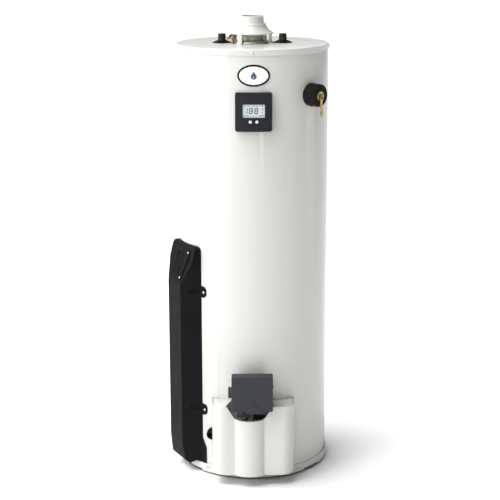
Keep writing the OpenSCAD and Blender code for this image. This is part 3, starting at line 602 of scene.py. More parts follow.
def make_base():
    z0 = low("base_ring").z
    z1 = high("base_ring").z
    r = high("base_ring").x
    wall = JACKET_R + 0.3 * MM
    lip = low("jacket").z
    shelf = 250.3 * MM
    profile = [(wall, z0), (r, z0), (r, z1), (wall, z1), (wall, lip), (shelf, lip), (shelf, lip - 2 * MM),
               (wall, lip - 2 * MM)]
    radii = [0.4 * MM, 1.0 * MM, 1.6 * MM, 0.6 * MM, 0.3 * MM, 0.3 * MM, 0.3 * MM, 0.3 * MM]
    ring = lathe("base_skirt", round_corners(profile, radii, 4), steps=288)
    for side in (-1, 1):
        cut(ring, wedge("tool", shelf - MM, r + MM, z0 - MM, lip - 3 * MM, side * 52 - 9, side * 52 + 9))
        for az in (37, 128):
            middle = side * az
            cut(ring, wedge("tool", JACKET_R + 0.1 * MM, r + MM, 21 * MM, 25 * MM, middle - 1.8, middle + 1.8, 6))
    place(ring, "white_enamel", "base_ring")

    pan_r = high("base_pan").x
    pan_h = high("base_pan").z
    t = 1.5 * MM
    flange = 226 * MM
    # the tray's dark colour is partly its own zinc and partly painted shade in the gap beneath the white ring
    profile = [(flange, 0), (pan_r, 0), (pan_r, pan_h), (0, pan_h), (0, pan_h - t), (pan_r - t, pan_h - t),
               (pan_r - t, t), (flange, t)]
    radii = [0.4 * MM, 1.5 * MM, 2 * MM, 0, 0, 1 * MM, 0.8 * MM, 0.4 * MM]
    place(lathe("base_tray", round_corners(profile, radii, 4), steps=192), "galvanised_base", "base_pan")


def screw(name, matrix, r, h, drive=0.45):
    """A pan head with a cross recess. Local Z points away from the surface."""
    side = [(0, 0), (r, 0), (r, h * 0.45), (r * 0.55, h), (0, h)]
    profile = round_corners(side, [0, 0.1 * r, r * 0.5, r * 0.3, 0], 4)
    head = lathe(name, profile, steps=32)
    arm = r * drive
    for w, l in ((0.26 * r, 2.4 * arm), (2.4 * arm, 0.26 * r)):
        tool = prism("tool", rectangle(w, l), h)
        shift(tool, 0, 0, h * 1.5)
        cut(head, tool)
    return moved(head, matrix)


def shank(matrix, r, length):
    pin = prism("shank", disc(r, 20), length)
    return moved(pin, matrix)


def make_cover_screws():
    heads = []
    for i, az in enumerate((-136, -61, 0, 88, 147)):
        where = facing(az, RIM_R, DECK_Z - 10 * MM) @ Matrix.Rotation(0.5 * i, 4, "Z")
        heads.append(screw("head", where, 4 * MM, 2.6 * MM))
        heads.append(shank(where, 2 * MM, 1.5 * MM))
    place(join("top_cover_screw_set", *heads), "zinc_screws", "top_cover_screws")


# ---------- combustion air duct ----------

DUCT_OUT = 300.6 * MM
DUCT_HALF = 47.7 * MM
DUCT_FOOT = (84.8 * MM, 239.4 * MM)
DUCT_KNEE = 668 * MM
TAB_Z = (230 * MM, 644 * MM)
TAB_SPREAD = 22.4


def duct_reach(z):
    """How far the duct stands out at a height: it leans back to the jacket at both ends."""
    z0 = low("duct_cover").z
    z1 = high("duct_cover").z
    z = max(z0, min(z1, z))
    profile = [(z0, 0.274), (z0 + 3 * MM, 0.281), (z0 + 10 * MM, 0.2895), (z0 + 18 * MM, 0.2925), (107 * MM, DUCT_OUT),
               (DUCT_KNEE, DUCT_OUT), (741 * MM, 0.2755), (790 * MM, 0.262), (z1, 0.258)]
    for (za, da), (zb, db) in zip(profile, profile[1:]):
        if z <= zb:
            return da + (db - da) * (z - za) / (zb - za)
    return profile[-1][1]


def eased_reach(z, window=7 * MM):
    """The same with its knees rounded."""
    samples = [duct_reach(z + window * k / 4) for k in range(-4, 5)]
    return sum(samples) / len(samples)


def duct_ring(z):
    """The duct's outline at one height: side, rounded corner, front, and back along the jacket."""
    reach = eased_reach(z)
    foot = Vector(DUCT_FOOT)
    slope = (foot.x - DUCT_HALF) / (DUCT_OUT - foot.y)
    # the front widens up the slope, then rounds in at the flat top
    f = max(0.0, min(1.0, (z - DUCT_KNEE) / (73 * MM)))
    wide = DUCT_HALF + (foot.x - 0.8 * MM - DUCT_HALF) * f
    corner = Vector((max(foot.x - slope * (reach - foot.y), wide), reach))
    r = 16 * MM
    above = max(0.0, z - (high("duct_cover").z - r))
    taken = r - math.sqrt(max(0.0, r * r - above * above))
    foot.x -= taken
    foot.y = math.sqrt(JACKET_R ** 2 - foot.x ** 2)
    corner.x -= taken
    outline = []
    for i in range(17):
        f = i / 16
        p = foot.lerp(corner, f)
        dent = 0.0
        for tab in TAB_Z:
            across = max(0.0, 1 - ((z - tab) / (8.5 * MM)) ** 2)
            dent = max(dent, math.sqrt(across) * max(0.0, min(1.0, (0.62 - f) * 6, f * 8)))
        outline.append(p - Vector((1, slope)).normalized() * 5.5 * MM * dent)
    outline[-1] = corner
    back = math.degrees(math.atan2(foot.x, foot.y))
    right = round_corners([foot, *outline[1:], Vector((0, reach))], [0] * 16 + [8 * MM, 0], 6)
    right = right[:-1]
    half = [(p[0], -p[1]) for p in right]
    front = [((1 - k / 6) * half[-1][0], half[-1][1]) for k in range(1, 6)]
    ring = half + front + [(0.0, half[-1][1])]
    ring += [(-x, y) for x, y in reversed(half + front)]
    inner = []
    for k in range(1, 24):
        a = math.radians(-back + 2 * back * k / 24)
        inner.append((JACKET_R * math.sin(a) * 1.001, -JACKET_R * math.cos(a) * 1.001))
    # the lower edge rises from the front to the jacket
    z0 = low("duct_cover").z
    near = max(0.0, 1 - (z - z0) / (107 * MM - z0))
    turn = Matrix.Rotation(math.radians(DUCT_AZ), 3, "Z")
    points = []
    for x, y in ring + inner:
        back = max(0.0, min(1.0, (0.284 + y) / 0.045))
        points.append(turn @ Vector((x, y, z + 24 * MM * near * back)))
    return points, len(ring)


def make_duct():
    z0 = low("duct_cover").z
    z1 = high("duct_cover").z
    heights = [z0 + (z1 - z0) * k / 90 for k in range(91)]
    heights += [z1 - MM * k for k in range(1, 17)] + [z0 + 1.5 * MM * k for k in range(1, 14)]
    for tab in TAB_Z:
        heights += [tab + MM * k for k in range(-9, 10)]
    heights = sorted(set(round(h, 5) for h in heights))
    rings = [duct_ring(z) for z in heights]
    shown = rings[0][1]
    body = loft("duct_shell", [r[0] for r in rings])
    # the back lies open against the jacket
    bm = bmesh.new()
    bm.from_mesh(body.data)
    behind = [f for f in bm.faces if all(v.co.xy.length < JACKET_R * 1.0025 for v in f.verts)]
    bmesh.ops.delete(bm, geom=behind, context="FACES")
    bm.to_mesh(body.data)
    bm.free()
    thick = body.modifiers.new("wall", "SOLIDIFY")
    thick.thickness = 2.5 * MM
    thick.offset = -1
    bake(body)
    for side in (-1, 1):
        for z in TAB_Z:
            az = DUCT_AZ + side * TAB_SPREAD
            ear = [(-17 * MM * side, -20 * MM), (2 * MM * side, -18 * MM), (9 * MM * side, -9 * MM),
                   (9 * MM * side, 9 * MM), (2 * MM * side, 18 * MM), (-17 * MM * side, 20 * MM)]
            tab = prism("tab", round_corners(ear, 4 * MM, 3), 3 * MM, edge=0.8 * MM)
            boss = prism("boss", disc(7 * MM, 32), 1.6 * MM, edge=0.8 * MM)
            shift(boss, 0, 0, 1.2 * MM)
            tab = join("tab", tab, boss)
            body = join("duct_shell", body, moved(tab, facing(az, JACKET_R + 3.2 * MM, z)))
    place(body, "black_plastic", "duct_cover", angle=40)
    return shown


def slope_frame():
    """Local X across the duct, local Y up its sloping top and local Z outwards."""
    tilt = math.atan2(DUCT_OUT - 0.262, 0.790 - DUCT_KNEE)
    return facing(DUCT_AZ, DUCT_OUT, DUCT_KNEE) @ Matrix.Rotation(-tilt, 4, "X")


def make_duct_panel():
    outline = [(-39 * MM, 10 * MM), (39 * MM, 10 * MM), (58 * MM, 108 * MM), (52 * MM, 119 * MM),
               (-52 * MM, 119 * MM), (-58 * MM, 108 * MM)]
    panel = prism("panel", round_corners(outline, 4 * MM, 4), 2.2 * MM, edge=0.8 * MM)
    for k in range(10):
        slot = prism("tool", round_corners(rectangle(54 * MM, 3.4 * MM, 0, (29.7 + 8 * k) * MM), 1.6 * MM, 3), 6 * MM)
        shift(slot, 0, 0, 3 * MM)
        cut(panel, slot)
    frame_outer = round_corners(outline, 4 * MM, 4)
    lip = prism("lip", frame_outer, 1.0 * MM, edge=0.6 * MM)
    tool = prism("tool", inset(frame_outer, 2.6 * MM), 4 * MM)
    shift(tool, 0, 0, 2 * MM)
    cut(lip, tool)
    shift(lip, 0, 0, 0.7 * MM)
    panel = join("duct_intake_panel", panel, lip)
    place(moved(panel, slope_frame() @ Matrix.Translation((0, 0, 1.4 * MM))), "black_plastic", "duct_panel")


def make_duct_screws():
    parts = []
    for side in (-1, 1):
        for i, z in enumerate(TAB_Z):
            az = DUCT_AZ + side * TAB_SPREAD
            where = facing(az, JACKET_R + 4.4 * MM, z) @ Matrix.Rotation(0.6 * i + 0.3, 4, "Z")
            parts.append(screw("head", where, 4.6 * MM, 2.8 * MM))
            parts.append(shank(where, 2.2 * MM, 4 * MM))
    for x, y in ((45, 109), (32, 20)):
        where = slope_frame() @ Matrix.Translation((x * MM, y * MM, 1.4 * MM))
        parts.append(screw("head", where, 3.6 * MM, 2.2 * MM))
    place(join("duct_screw_set", *parts), "zinc_screws", "duct_screws")


def make_intake_boot():
    """A skirt that flares round the jacket at the duct's foot."""
    z0 = low("intake_plate").z
    z1 = high("intake_plate").z + 9 * MM
    rings = []
    for i in range(25):
        f = i / 24
        z = z0 + (z1 - z0) * f
        half = 18.4 + 5.0 * min(1.0, (1 - f) / 0.45) ** 0.8
        outer = []
        inner = []
        for k in range(33):
            a = DUCT_AZ - half + 2 * half * k / 32
            outer.append(at(a, JACKET_R + 2.6 * MM, z))
            inner.append(at(a, JACKET_R + 0.4 * MM, z))
        rings.append(outer + list(reversed(inner)))
    boot = loft("intake_boot", rings)
    soften(boot, 0.7 * MM, 2, 50)
    place(boot, "black_plastic", "intake_plate")


# ---------- burner cover ----------


def arc(cx, cy, r, a0, a1, n):
    angles = [math.radians(a0 + (a1 - a0) * k / n) for k in range(n + 1)]
    return [Vector((cx + r * math.cos(a), cy + r * math.sin(a))) for a in angles]


def evenly(points, step):
    """Points about one step apart along a line."""
    result = [points[0]]
    for a, b in zip(points, points[1:]):
        n = max(1, round((b - a).length / step))
        result += [a.lerp(b, k / n) for k in range(1, n + 1)]
    return result


COVER_CORNER = (95 * MM, -267 * MM)
COVER_CORNER_R = 42 * MM
COVER_BULGE = (-12 * MM, -266 * MM)
COVER_BULGE_R = 65 * MM
CUTOUT = ((-88 * MM, 280 * MM), (-61 * MM, 235 * MM), (37 * MM, 235 * MM), (66 * MM, 280 * MM))


def cover_line(d=0.0):
    """The cover's wall seen from above, moved inwards by d."""
    side = [Vector((140 * MM - d, -213.5 * MM))] + arc(*COVER_CORNER, COVER_CORNER_R - d, 0, -90, 22)
    front = arc(*COVER_BULGE, COVER_BULGE_R - d, -41, -139, 34)
    left = [Vector((-p.x, p.y)) for p in reversed(side)]
    return side + front + left


def cutout_height(x):
    top = high("burner_cover").z
    if x <= CUTOUT[0][0] or x >= CUTOUT[3][0]:
        return top
    for (xa, za), (xb, zb) in zip(CUTOUT, CUTOUT[1:]):
        if xa <= x <= xb:
            return za + (zb - za) * (x - xa) / (xb - xa)
    return top


def cover_top(x, window=4 * MM):
    return sum(cutout_height(x + window * k / 4) for k in range(-4, 5)) / 9


def cover_bottom(p):
    """The lower edge rises towards the sides, where it passes over the base ring."""
    base = low("burner_cover").z
    back = max(0.0, min(1.0, (p.y + 0.290) / 0.078))
    return base + 14 * MM * back


def make_burner_cover():
    line = evenly(cover_line(), 2 * MM)
    n = len(line)
    rings = []
    for i, p in enumerate(line):
        a = line[max(i - 1, 0)]
        b = line[min(i + 1, n - 1)]
        step = (b - a).normalized()
        inward = Vector((step.y, -step.x))
        if inward.dot(-p) < 0:
            inward = -inward
        top = cover_top(p.x)
        bottom = cover_bottom(p)
        room = (p.length - JACKET_R - 1.2 * MM) * 0.8
        flange = max(SHEET + 0.2 * MM, min(5 * MM, room))
        if abs(p.x) > COVER_CORNER[0]:
            flange = SHEET + 0.2 * MM
        r = 2.2 * MM
        section = [(-0.0, bottom + 6.5 * MM), (-0.7 * MM, bottom + 5.6 * MM), (-0.9 * MM, bottom + 3.5 * MM),
                   (-0.8 * MM, bottom + 0.9 * MM), (-0.2 * MM, bottom + 0.1 * MM), (SHEET, bottom + 0.2 * MM),
                   (SHEET, top - r)]
        for k in range(4):
            t = math.pi / 2 * k / 3
            section.append((SHEET + (r - SHEET) * (1 - math.cos(t)), top - r + (r - SHEET) * math.sin(t)))
        section += [(flange, top - SHEET), (flange, top)]
        for k in range(5):
            t = math.pi / 2 * (1 - k / 4)
            section.append((r * (1 - math.cos(t)), top - r + r * math.sin(t)))
        rings.append([(p.x + inward.x * d, p.y + inward.y * d, z) for d, z in section])
    wall = loft("cover_wall", rings)
    parts = [wall]
    top = high("burner_cover").z
    for side in (-1, 1):
        parts.append(make_ledge(side, top))
    cover = join("burner_cover_shell", *parts)
    # notch that clears the drain valve
    cut(cover, block("tool", (-0.142, -0.255, 0.122), (-0.130, -0.205, 0.178)))
    place(cover, "white_enamel", "burner_cover", angle=28)


def make_ledge(side, top):
    """The flat shelf between the cover's rounded corner and the jacket."""
    inner_x = CUTOUT[3][0] if side > 0 else -CUTOUT[0][0]
    edge = []
    for p in evenly(cover_line(4.6 * MM), 3 * MM):
        x = p.x * side
        if inner_x + 1.5 * MM <= x and p.y < -0.222:
            edge.append(Vector((p.x, p.y)))
    if side < 0:
        edge.reverse()
    lowest = edge[0]
    highest = edge[-1]
    a0 = math.atan2(lowest.x, -lowest.y)
    a1 = math.atan2(highest.x, -highest.y)
    r = JACKET_R + 0.9 * MM
    back = [Vector((r * math.sin(a1 + (a0 - a1) * k / 14), -r * math.cos(a1 + (a0 - a1) * k / 14))) for k in range(15)]
    shelf = prism("ledge", edge + back, SHEET, edge=0.3 * MM)
    shift(shelf, 0, 0, top - 0.4 * MM)
    return shelf


# ---------- gas control ----------


def in_front(x, y, z):
    """Local X to the right, local Y up and local Z towards the front."""
    return facing(0, -y, z) @ Matrix.Translation((x, 0, 0))


def cup(name, outline, depth, wall, edge, inner_edge=1.5 * MM, lip=()):
    """A cover open at the back. lip holds extra (inset, z) rings round its face."""
    rings = [[(p.x, p.y, -depth) for p in inset(outline, wall)], [(p.x, p.y, -depth) for p in inset(outline, 0)]]
    for k in range(5):
        a = math.pi / 2 * k / 4
        rings.append([(p.x, p.y, -edge * (1 - math.sin(a))) for p in inset(outline, edge * (1 - math.cos(a)))])
    for d, z in lip:
        rings.append([(p.x, p.y, z) for p in inset(outline, d)])
    inside = []
    for k in range(4):
        a = math.pi / 2 * k / 3
        d = wall + inner_edge * (1 - math.cos(a))
        z = -wall - inner_edge * (1 - math.sin(a))
        inside.append([(p.x, p.y, z) for p in inset(outline, d)])
    rings = list(reversed(inside)) + rings
    return loft(name, rings)


def make_gas_control():
    pivot = Vector(JOINTS["gas_knob_turn"]["pos_m"])
    lo = low("gas_cover")
    hi = high("gas_cover")
    x0 = lo.x
    x1 = 65.6 * MM
    z0 = lo.z
    z1 = hi.z
    outline = [(x0, z0 + 7 * MM), (x0 + 45 * MM, z0 + 7 * MM), (x0 + 50 * MM, z0), (x1 - 27 * MM, z0),
               (x1 - 21 * MM, z0 + 8 * MM), (x1, z0 + 8 * MM), (x1, z1), (x0, z1)]
    radii = [3 * MM, 3 * MM, 3 * MM, 2 * MM, 3 * MM, 6 * MM, 5 * MM, 5 * MM]
    outline = round_corners([Vector(p) for p in outline], radii, 5)
    depth = 45 * MM
    lip = [(3.4 * MM, 0.0), (4.0 * MM, -0.35 * MM)]
    case = cup("gas_control_case", outline, depth, 2.5 * MM, 3.2 * MM, lip=lip)
    moved(case, in_front(0, lo.y, 0))
    cut(case, rod("tool", (x0 - 5 * MM, pivot.y, pivot.z), (x0 + 4 * MM, pivot.y, pivot.z), 6 * MM))
    catch = rod("catch", (x1 - 0.5 * MM, -0.312, 0.350), (x1 + 2 * MM, -0.312, 0.350), 4.5 * MM)
    soften(catch, 0.8 * MM)
    place(join("gas_control_case", case, catch), "grey_plastic", "gas_cover", angle=20)

    # knob on the left side, with grips round it and a raised pointer
    r = 19 * MM
    ribs = []
    for k in range(144):
        a = 2 * math.pi * k / 144
        dip = max(0.0, math.cos(a * 18)) ** 2
        ribs.append((math.cos(a) * (r - 1.1 * MM * dip), math.sin(a) * (r - 1.1 * MM * dip)))
    grip = prism("grip", ribs, 8.2 * MM, edge=1.6 * MM)
    collar = prism("collar", disc(r, 96), 2.8 * MM, edge=0.5 * MM)
    shift(collar, 0, 0, -8.2 * MM)
    bar = prism("bar", round_corners(rectangle(6 * MM, 30 * MM), 2.4 * MM, 4), 1.4 * MM, edge=0.5 * MM)
    stem = prism("stem", disc(4 * MM, 32), 34 * MM)
    shift(bar, 0, 0, 0.2 * MM)
    shift(stem, 0, 0, -8 * MM)
    knob = join("gas_dial", grip, collar, bar, stem)
    outer_x = low("gas_knob").x + 0.3 * MM
    moved(knob, aimed((-1, 0, 0), (outer_x, pivot.y, pivot.z)))
    place(knob, "grey_plastic", "gas_knob")

    place(refined("gas_valve_body", 1.5 * MM, 3), "cast_aluminium", "gas_valve_body")
    place(refined("control_plug", 1.2 * MM), "black_plastic", "control_plug")


def make_gas_line():
    """The gas line with its nut, and the pilot tube, in smooth bends."""
    x = -30 * MM
    y = -286 * MM
    z = 84 * MM
    gas = pipe("gas_tube", [(x, y, 0.239), (x, y, z + 22 * MM), (x, y + 4 * MM, z + 8 * MM), (x, y + 22 * MM, z),
                            (x, -0.106, z)], 6 * MM)
    nut = prism("nut", disc(12 * MM, 6), 16 * MM, edge=1 * MM, back_edge=1 * MM)
    shift(nut, x, y, 0.238)
    place(join("gas_line", gas, nut), "plated_steel", "manifold_tube")
    x = 8 * MM
    y = -272 * MM
    z = 90 * MM
    pilot = pipe("pilot_line", [(x, y, 0.284), (x, y, z + 16 * MM), (x, y + 3 * MM, z + 5 * MM),
                                (x, y + 15 * MM, z), (x, -0.100, z)], 2.2 * MM)
    place(pilot, "aluminium_tube", "pilot_tube")


def curve_points(points, steps=8):
    """A smooth line through all the points."""
    pts = [Vector(p) for p in points]
    pts = [pts[0] * 2 - pts[1]] + pts + [pts[-1] * 2 - pts[-2]]
    result = []
    for i in range(1, len(pts) - 2):
        a, b, c, d = pts[i - 1:i + 3]
        for k in range(steps):
            t = k / steps
            result.append(0.5 * (2 * b + (c - a) * t + (2 * a - 5 * b + 4 * c - d) * t ** 2
                                 + (3 * b - a - 3 * c + d) * t ** 3))
    result.append(pts[-2])
    return result


def pipe(name, points, r, sides=20, steps=8):
    """A round tube along a smooth line."""
    line = curve_points(points, steps)
    rings = []
    side = None
    for i, p in enumerate(line):
        tangent = (line[min(i + 1, len(line) - 1)] - line[max(i - 1, 0)]).normalized()
        if side is None:
            side = tangent.orthogonal().normalized()
        side = (side - tangent * side.dot(tangent)).normalized()
        up = tangent.cross(side)
        rings.append([p + r * (math.cos(2 * math.pi * k / sides) * side + math.sin(2 * math.pi * k / sides) * up)
                      for k in range(sides)])
    return loft(name, rings)


# ---------- display ----------

DISPLAY_X = 3.6 * MM
LCD_AT = (4 * MM, 1261.5 * MM)
LCD_SIZE = (72 * MM, 43 * MM)
BUTTON_X = (-7 * MM, 14.3 * MM)
BUTTON_Z = 1227 * MM
SEGMENTS = {"a": (0, 1, 0), "b": (0.5, 0.5, 1), "c": (0.5, -0.5, 1), "d": (0, -1, 0), "e": (-0.5, -0.5, 1),
            "f": (-0.5, 0.5, 1), "g": (0, 0, 0)}


def make_display():
    lo = low("display_housing")
    hi = high("display_housing")
    w = hi.x - lo.x
    h = hi.z - lo.z
    z = (lo.z + hi.z) / 2
    face_r = -lo.y
    depth = face_r - JACKET_R - 0.4 * MM
    outline = round_corners([Vector(p) for p in rectangle(w, h)], 8 * MM, 7)
    lip = [(2.6 * MM, 0.0), (3.1 * MM, -0.5 * MM), (3.5 * MM, -0.6 * MM)]
    case = cup("display_case", outline, depth, 2.5 * MM, 1.8 * MM, 1 * MM, lip)
    screen = rectangle(*LCD_SIZE, LCD_AT[0] - DISPLAY_X, LCD_AT[1] - z)
    tool = prism("tool", round_corners([Vector(p) for p in screen], 1.5 * MM, 3), 8 * MM)
    shift(tool, 0, 0, 3 * MM)
    cut(case, tool)
    for x in BUTTON_X:
        tool = prism("tool", disc(5.05 * MM, 40), 8 * MM)
        shift(tool, x - DISPLAY_X, BUTTON_Z - z, 3 * MM)
        cut(case, tool)
    # thin frame round the window
    surround = prism("surround", round_corners([Vector(p) for p in inset(screen, -2.2 * MM)], 2 * MM, 4), 0.8 * MM,
                     edge=0.3 * MM)
    tool = prism("tool", round_corners([Vector(p) for p in inset(screen, 0.3 * MM)], 1.2 * MM, 3), 4 * MM)
    shift(tool, 0, 0, 2 * MM)
    cut(surround, tool)
    shift(surround, 0, 0, -0.15 * MM)
    case = join("display_case", case, surround)
    bend_to_cylinder(case, face_r, 16, w + 2 * MM)
    shift(case, DISPLAY_X, 0, z)
    place(case, "dark_plastic", "display_housing", angle=30)

    window = prism("window", round_corners([Vector(p) for p in inset(screen, 0.2 * MM)], 1.4 * MM, 3), 1.2 * MM,
                   edge=0.2 * MM)
    shift(window, 0, 0, -1.1 * MM)
    bend_to_cylinder(window, face_r, 12, w)
    shift(window, DISPLAY_X, 0, z)
    place(window, "lcd_window", "lcd_window")

    for name, node, x in (("left_key", "button_left", BUTTON_X[0]), ("right_key", "button_right", BUTTON_X[1])):
        lo = low(node)
        front = -lo.y
        cap = prism("cap", disc(5 * MM, 48), front - 266.9 * MM, edge=1.4 * MM, steps=5)
        flange = prism("flange", disc(6.2 * MM, 48), 1.3 * MM, edge=0.3 * MM)
        shift(flange, 0, 0, 268.2 * MM - front)
        post = prism("post", disc(2 * MM, 24), 2.1 * MM)
        shift(post, 0, 0, 267 * MM - front)
        key = join(name, cap, flange, post)
        place(moved(key, in_front(x, lo.y, BUTTON_Z)), "white_plastic", node)
    make_lcd_marks()


def bar(cx, cy, length, thick, upright):
    """One tapered stroke of a digit."""
    t = thick / 2
    s = length / 2
    pts = [(-s, 0), (-s + t, t), (s - t, t), (s, 0), (s - t, -t), (-s + t, -t)]
    if upright:
        pts = [(-y, x) for x, y in pts]
    return [(cx + x + 0.10 * (cy + y), cy + y) for x, y in pts]


def make_lcd_marks():
    """Strokes of a plain three-figure temperature, with a few small indicators round it."""
    marks = []
    tall = 8.0 * MM
    wide = 9.5 * MM
    for shown, cx in (("bc", -21 * MM), ("abcdefg", -7.8 * MM), ("abcdefg", 9.1 * MM)):
        for letter in shown:
            sx, sy, upright = SEGMENTS[letter]
            if shown == "bc":
                sx = 0.1
            length = (tall if upright else wide) + 0.6 * MM
            stroke = bar(sx * wide, sy * tall, length, 4.0 * MM, upright)
            marks.append([(x + cx, y) for x, y in stroke])
    for x, y, w, h in ((-29, 16, 5, 1.8), (-15, 16, 8, 1.8), (1, 16, 3, 2.4), (12, 16, 8, 1.8),
                       (28, 16, 6, 2.2), (29, 5, 5, 2.4), (29, -4.4, 2.6, 3.4), (-24, -15, 16, 1.8),
                       (26, -15, 14, 1.8)):
        marks.append(round_corners([Vector(p) for p in rectangle(w * MM, h * MM, x * MM, y * MM)], 0.5 * MM, 2))
    parts = []
    front = low("lcd_panel").y
    for outline in marks:
        mark = prism("mark", outline, 0.25 * MM)
        parts.append(moved(mark, in_front(LCD_AT[0] - 1 * MM, front - 0.2 * MM, LCD_AT[1])))
    ink = join("lcd_marks", *parts)
    place(ink, "lcd", body="heater")
    paint(ink, EXTRA["lcd_ink"])


# ---------- badge ----------


def make_badge():
    lo = low("badge")
    hi = high("badge")
    cx = (lo.x + hi.x) / 2
    cz = (lo.z + hi.z) / 2
    rx = (hi.x - lo.x) / 2
    rz = (hi.z - lo.z) / 2
    oval = [Vector(p) for p in disc(rz, 120, rx)]
    rim = prism("rim", oval, 1.6 * MM, edge=0.8 * MM, steps=4)
    tool = prism("tool", inset(oval, 5.8 * MM), 4 * MM)
    shift(tool, 0, 0, 2 * MM)
    cut(rim, tool)
    field = prism("field", inset(oval, 5.6 * MM), 1.2 * MM)
    shift(field, 0, 0, -0.4 * MM)
    drop = []
    for k in range(64):
        a = 2 * math.pi * k / 64
        pull = max(0.0, math.sin(a)) ** 3
        x = 9.5 * MM * math.cos(a) * (1 - 0.75 * pull)
        drop.append(Vector((x, -3 * MM + 9.5 * MM * math.sin(a) + 7 * MM * pull)))
    icon = prism("icon", drop, 0.7 * MM, edge=0.3 * MM)
    glint = prism("glint", disc(1.3 * MM, 24, 2.2 * MM, x=-3.6 * MM, y=-5.4 * MM), 0.3 * MM)
    glint.data.transform(Matrix.Rotation(0.5, 4, "Z") @ Matrix.Translation((0, 0, 0.35 * MM)))
    pieces = (("badge_rim", rim, EXTRA["badge_dark"]), ("badge_field", join("f", field, glint), MATERIALS["badge"]),
              ("badge_mark", icon, EXTRA["badge_slate"]))
    for name, obj, material in pieces:
        obj.name = name
        bend_to_cylinder(obj, JACKET_R + 1.7 * MM, 24, 2 * rx + 2 * MM)
        shift(obj, cx, 0, cz)
        if name == "badge_field":
            place(obj, "badge", "badge")
        else:
            place(obj, "badge")
        paint(obj, material)


# ---------- relief and drain valves ----------


def spun(name, matrix, profile, steps=96):
    """A profile of (radius, height) turned about local Z."""
    return moved(lathe(name, profile, steps=steps), matrix)


def make_relief_valve():
    az = RELIEF_AZ
    z = RELIEF_Z
    boot_r = 37.5 * MM
    tip = 296.5 * MM
    root = 254.6 * MM
    # foam sleeve, pressed against the jacket, with a slightly waisted side
    profile = [(17.3 * MM, 245 * MM), (boot_r - 1 * MM, 245 * MM), (boot_r, 262 * MM), (boot_r - 0.6 * MM, 278 * MM),
               (boot_r - 1.2 * MM, tip), (17.3 * MM, tip)]
    radii = [0, 1 * MM, 12 * MM, 12 * MM, 5 * MM, 1.2 * MM]
    boot = spun("relief_sleeve", facing(az, 0, z), round_corners(profile, radii, 6))
    cut(boot, lathe("tool", [(0, 1.2), (root, 1.2), (root, 1.4), (0, 1.4)], steps=192))
    port = rod("tool", (0, 0, -40 * MM), (0, 0, -10 * MM), 15.8 * MM)
    cut(boot, moved(port, Matrix.Translation(at(az, 272 * MM, z))))
    place(boot, "black_foam", "relief_boot")

    body = refined("relief_valve_body", 0.8 * MM, 3)
    head = [(13.8 * MM, 294.6 * MM), (16.6 * MM, 294.6 * MM), (16.6 * MM, 296.6 * MM), (13.8 * MM, 297.4 * MM),
            (6.5 * MM, 297.4 * MM), (6.5 * MM, 294.6 * MM)]
    crown = spun("crown", facing(az, 0, z), round_corners(head, 0.6 * MM, 3))
    place(join("relief_brass", body, crown), "brass_fitting", "relief_valve_body")

    stem = refined("relief_stem", 0.25 * MM)
    place(stem, "stainless", "relief_stem")

    # lever: two ears on the pin, a waisted strap and a round end with a hole
    pivot = 302 * MM
    rows = []
    for i in range(33):
        f = i / 32
        y = -8 * MM - 61 * MM * f
        half = (7.2 - 1.3 * math.sin(math.pi * min(1, f * 1.2))) * MM
        if f > 0.84:
            half = math.sqrt(max(1e-9, 1 - ((f - 0.84) / 0.16) ** 2)) * 7.6 * MM
        depth = -2.0 * MM + 1.6 * MM * f ** 2
        rows.append((y, max(half, 0.3 * MM), depth))
    rings = []
    for y, half, depth in rows:
        rings.append([(-half, y, depth), (-half * 0.9, y, depth + 0.7 * MM), (half * 0.9, y, depth + 0.7 * MM),
                      (half, y, depth), (half * 0.92, y, depth - 0.8 * MM), (-half * 0.92, y, depth - 0.8 * MM)])
    strap = loft("strap", rings)
    cut(strap, moved(rod("tool", (0, 0, -6 * MM), (0, 0, 6 * MM), 3 * MM), Matrix.Translation((0, -61 * MM, 0))))
    parts = [strap]
    for side in (-1, 1):
        ear = prism("ear", round_corners([(-3.6 * MM, 3.4 * MM), (-3.6 * MM, -13 * MM), (2.2 * MM, -13 * MM),
                                          (3.6 * MM, 0), (3.4 * MM, 3.4 * MM)], 2.4 * MM, 5), 1.6 * MM, edge=0.3 * MM,
                    back_edge=0.3 * MM)
        tool = prism("tool", disc(1.55 * MM, 32), 6 * MM)
        shift(tool, 0, 0, 2 * MM)
        cut(ear, tool)
        turn = Matrix(((0, 0, 1, 0), (0, 1, 0, 0), (-1, 0, 0, 0), (0, 0, 0, 1)))
        parts.append(moved(ear, Matrix.Translation((4.9 * MM if side > 0 else -3.3 * MM, 0, 0)) @ turn))
    lever = join("relief_handle", *parts)
    place(moved(lever, facing(az, pivot, z)), "brass_lever", "relief_lever", angle=45)


def make_drain_valve():
    az = DRAIN_AZ
    z = DRAIN_Z
    body = refined("drain_valve_body", 0.5 * MM, 2)
    thread = threaded("thread", 12.6 * MM, 8.2 * MM, 264.8 * MM, 274.2 * MM, 2.2 * MM, 0.8 * MM)
    place(join("drain_spout", body, moved(thread, facing(az, 0, z))), "black_plastic", "drain_valve_body")

    ribs = []
    for k in range(160):
        a = 2 * math.pi * k / 160
        dip = max(0.0, math.cos(a * 16)) ** 2
        ribs.append((math.cos(a) * (20 - 1.3 * dip) * MM, math.sin(a) * (20 - 1.3 * dip) * MM))
    d0 = 255.6 * MM
    d1 = 263.6 * MM
    knob = prism("drain_wheel", ribs, d1 - d0, edge=1.2 * MM, back_edge=0.8 * MM)
    moved(knob, facing(az, d1, z))
    cut(knob, radial_hole(az, z, 14.05 * MM, d0 - MM, d1 + MM))
    for k in range(8):
        a = math.pi / 4 * k
        spot = facing(az, d1 - 2 * MM, z) @ Matrix.Translation((17 * MM * math.cos(a), 17 * MM * math.sin(a), 0))
        tool = prism("tool", disc(1.5 * MM, 16), 4 * MM)
        shift(tool, 0, 0, 3.4 * MM)
        cut(knob, moved(tool, spot))
    place(knob, "black_plastic", "drain_knob")


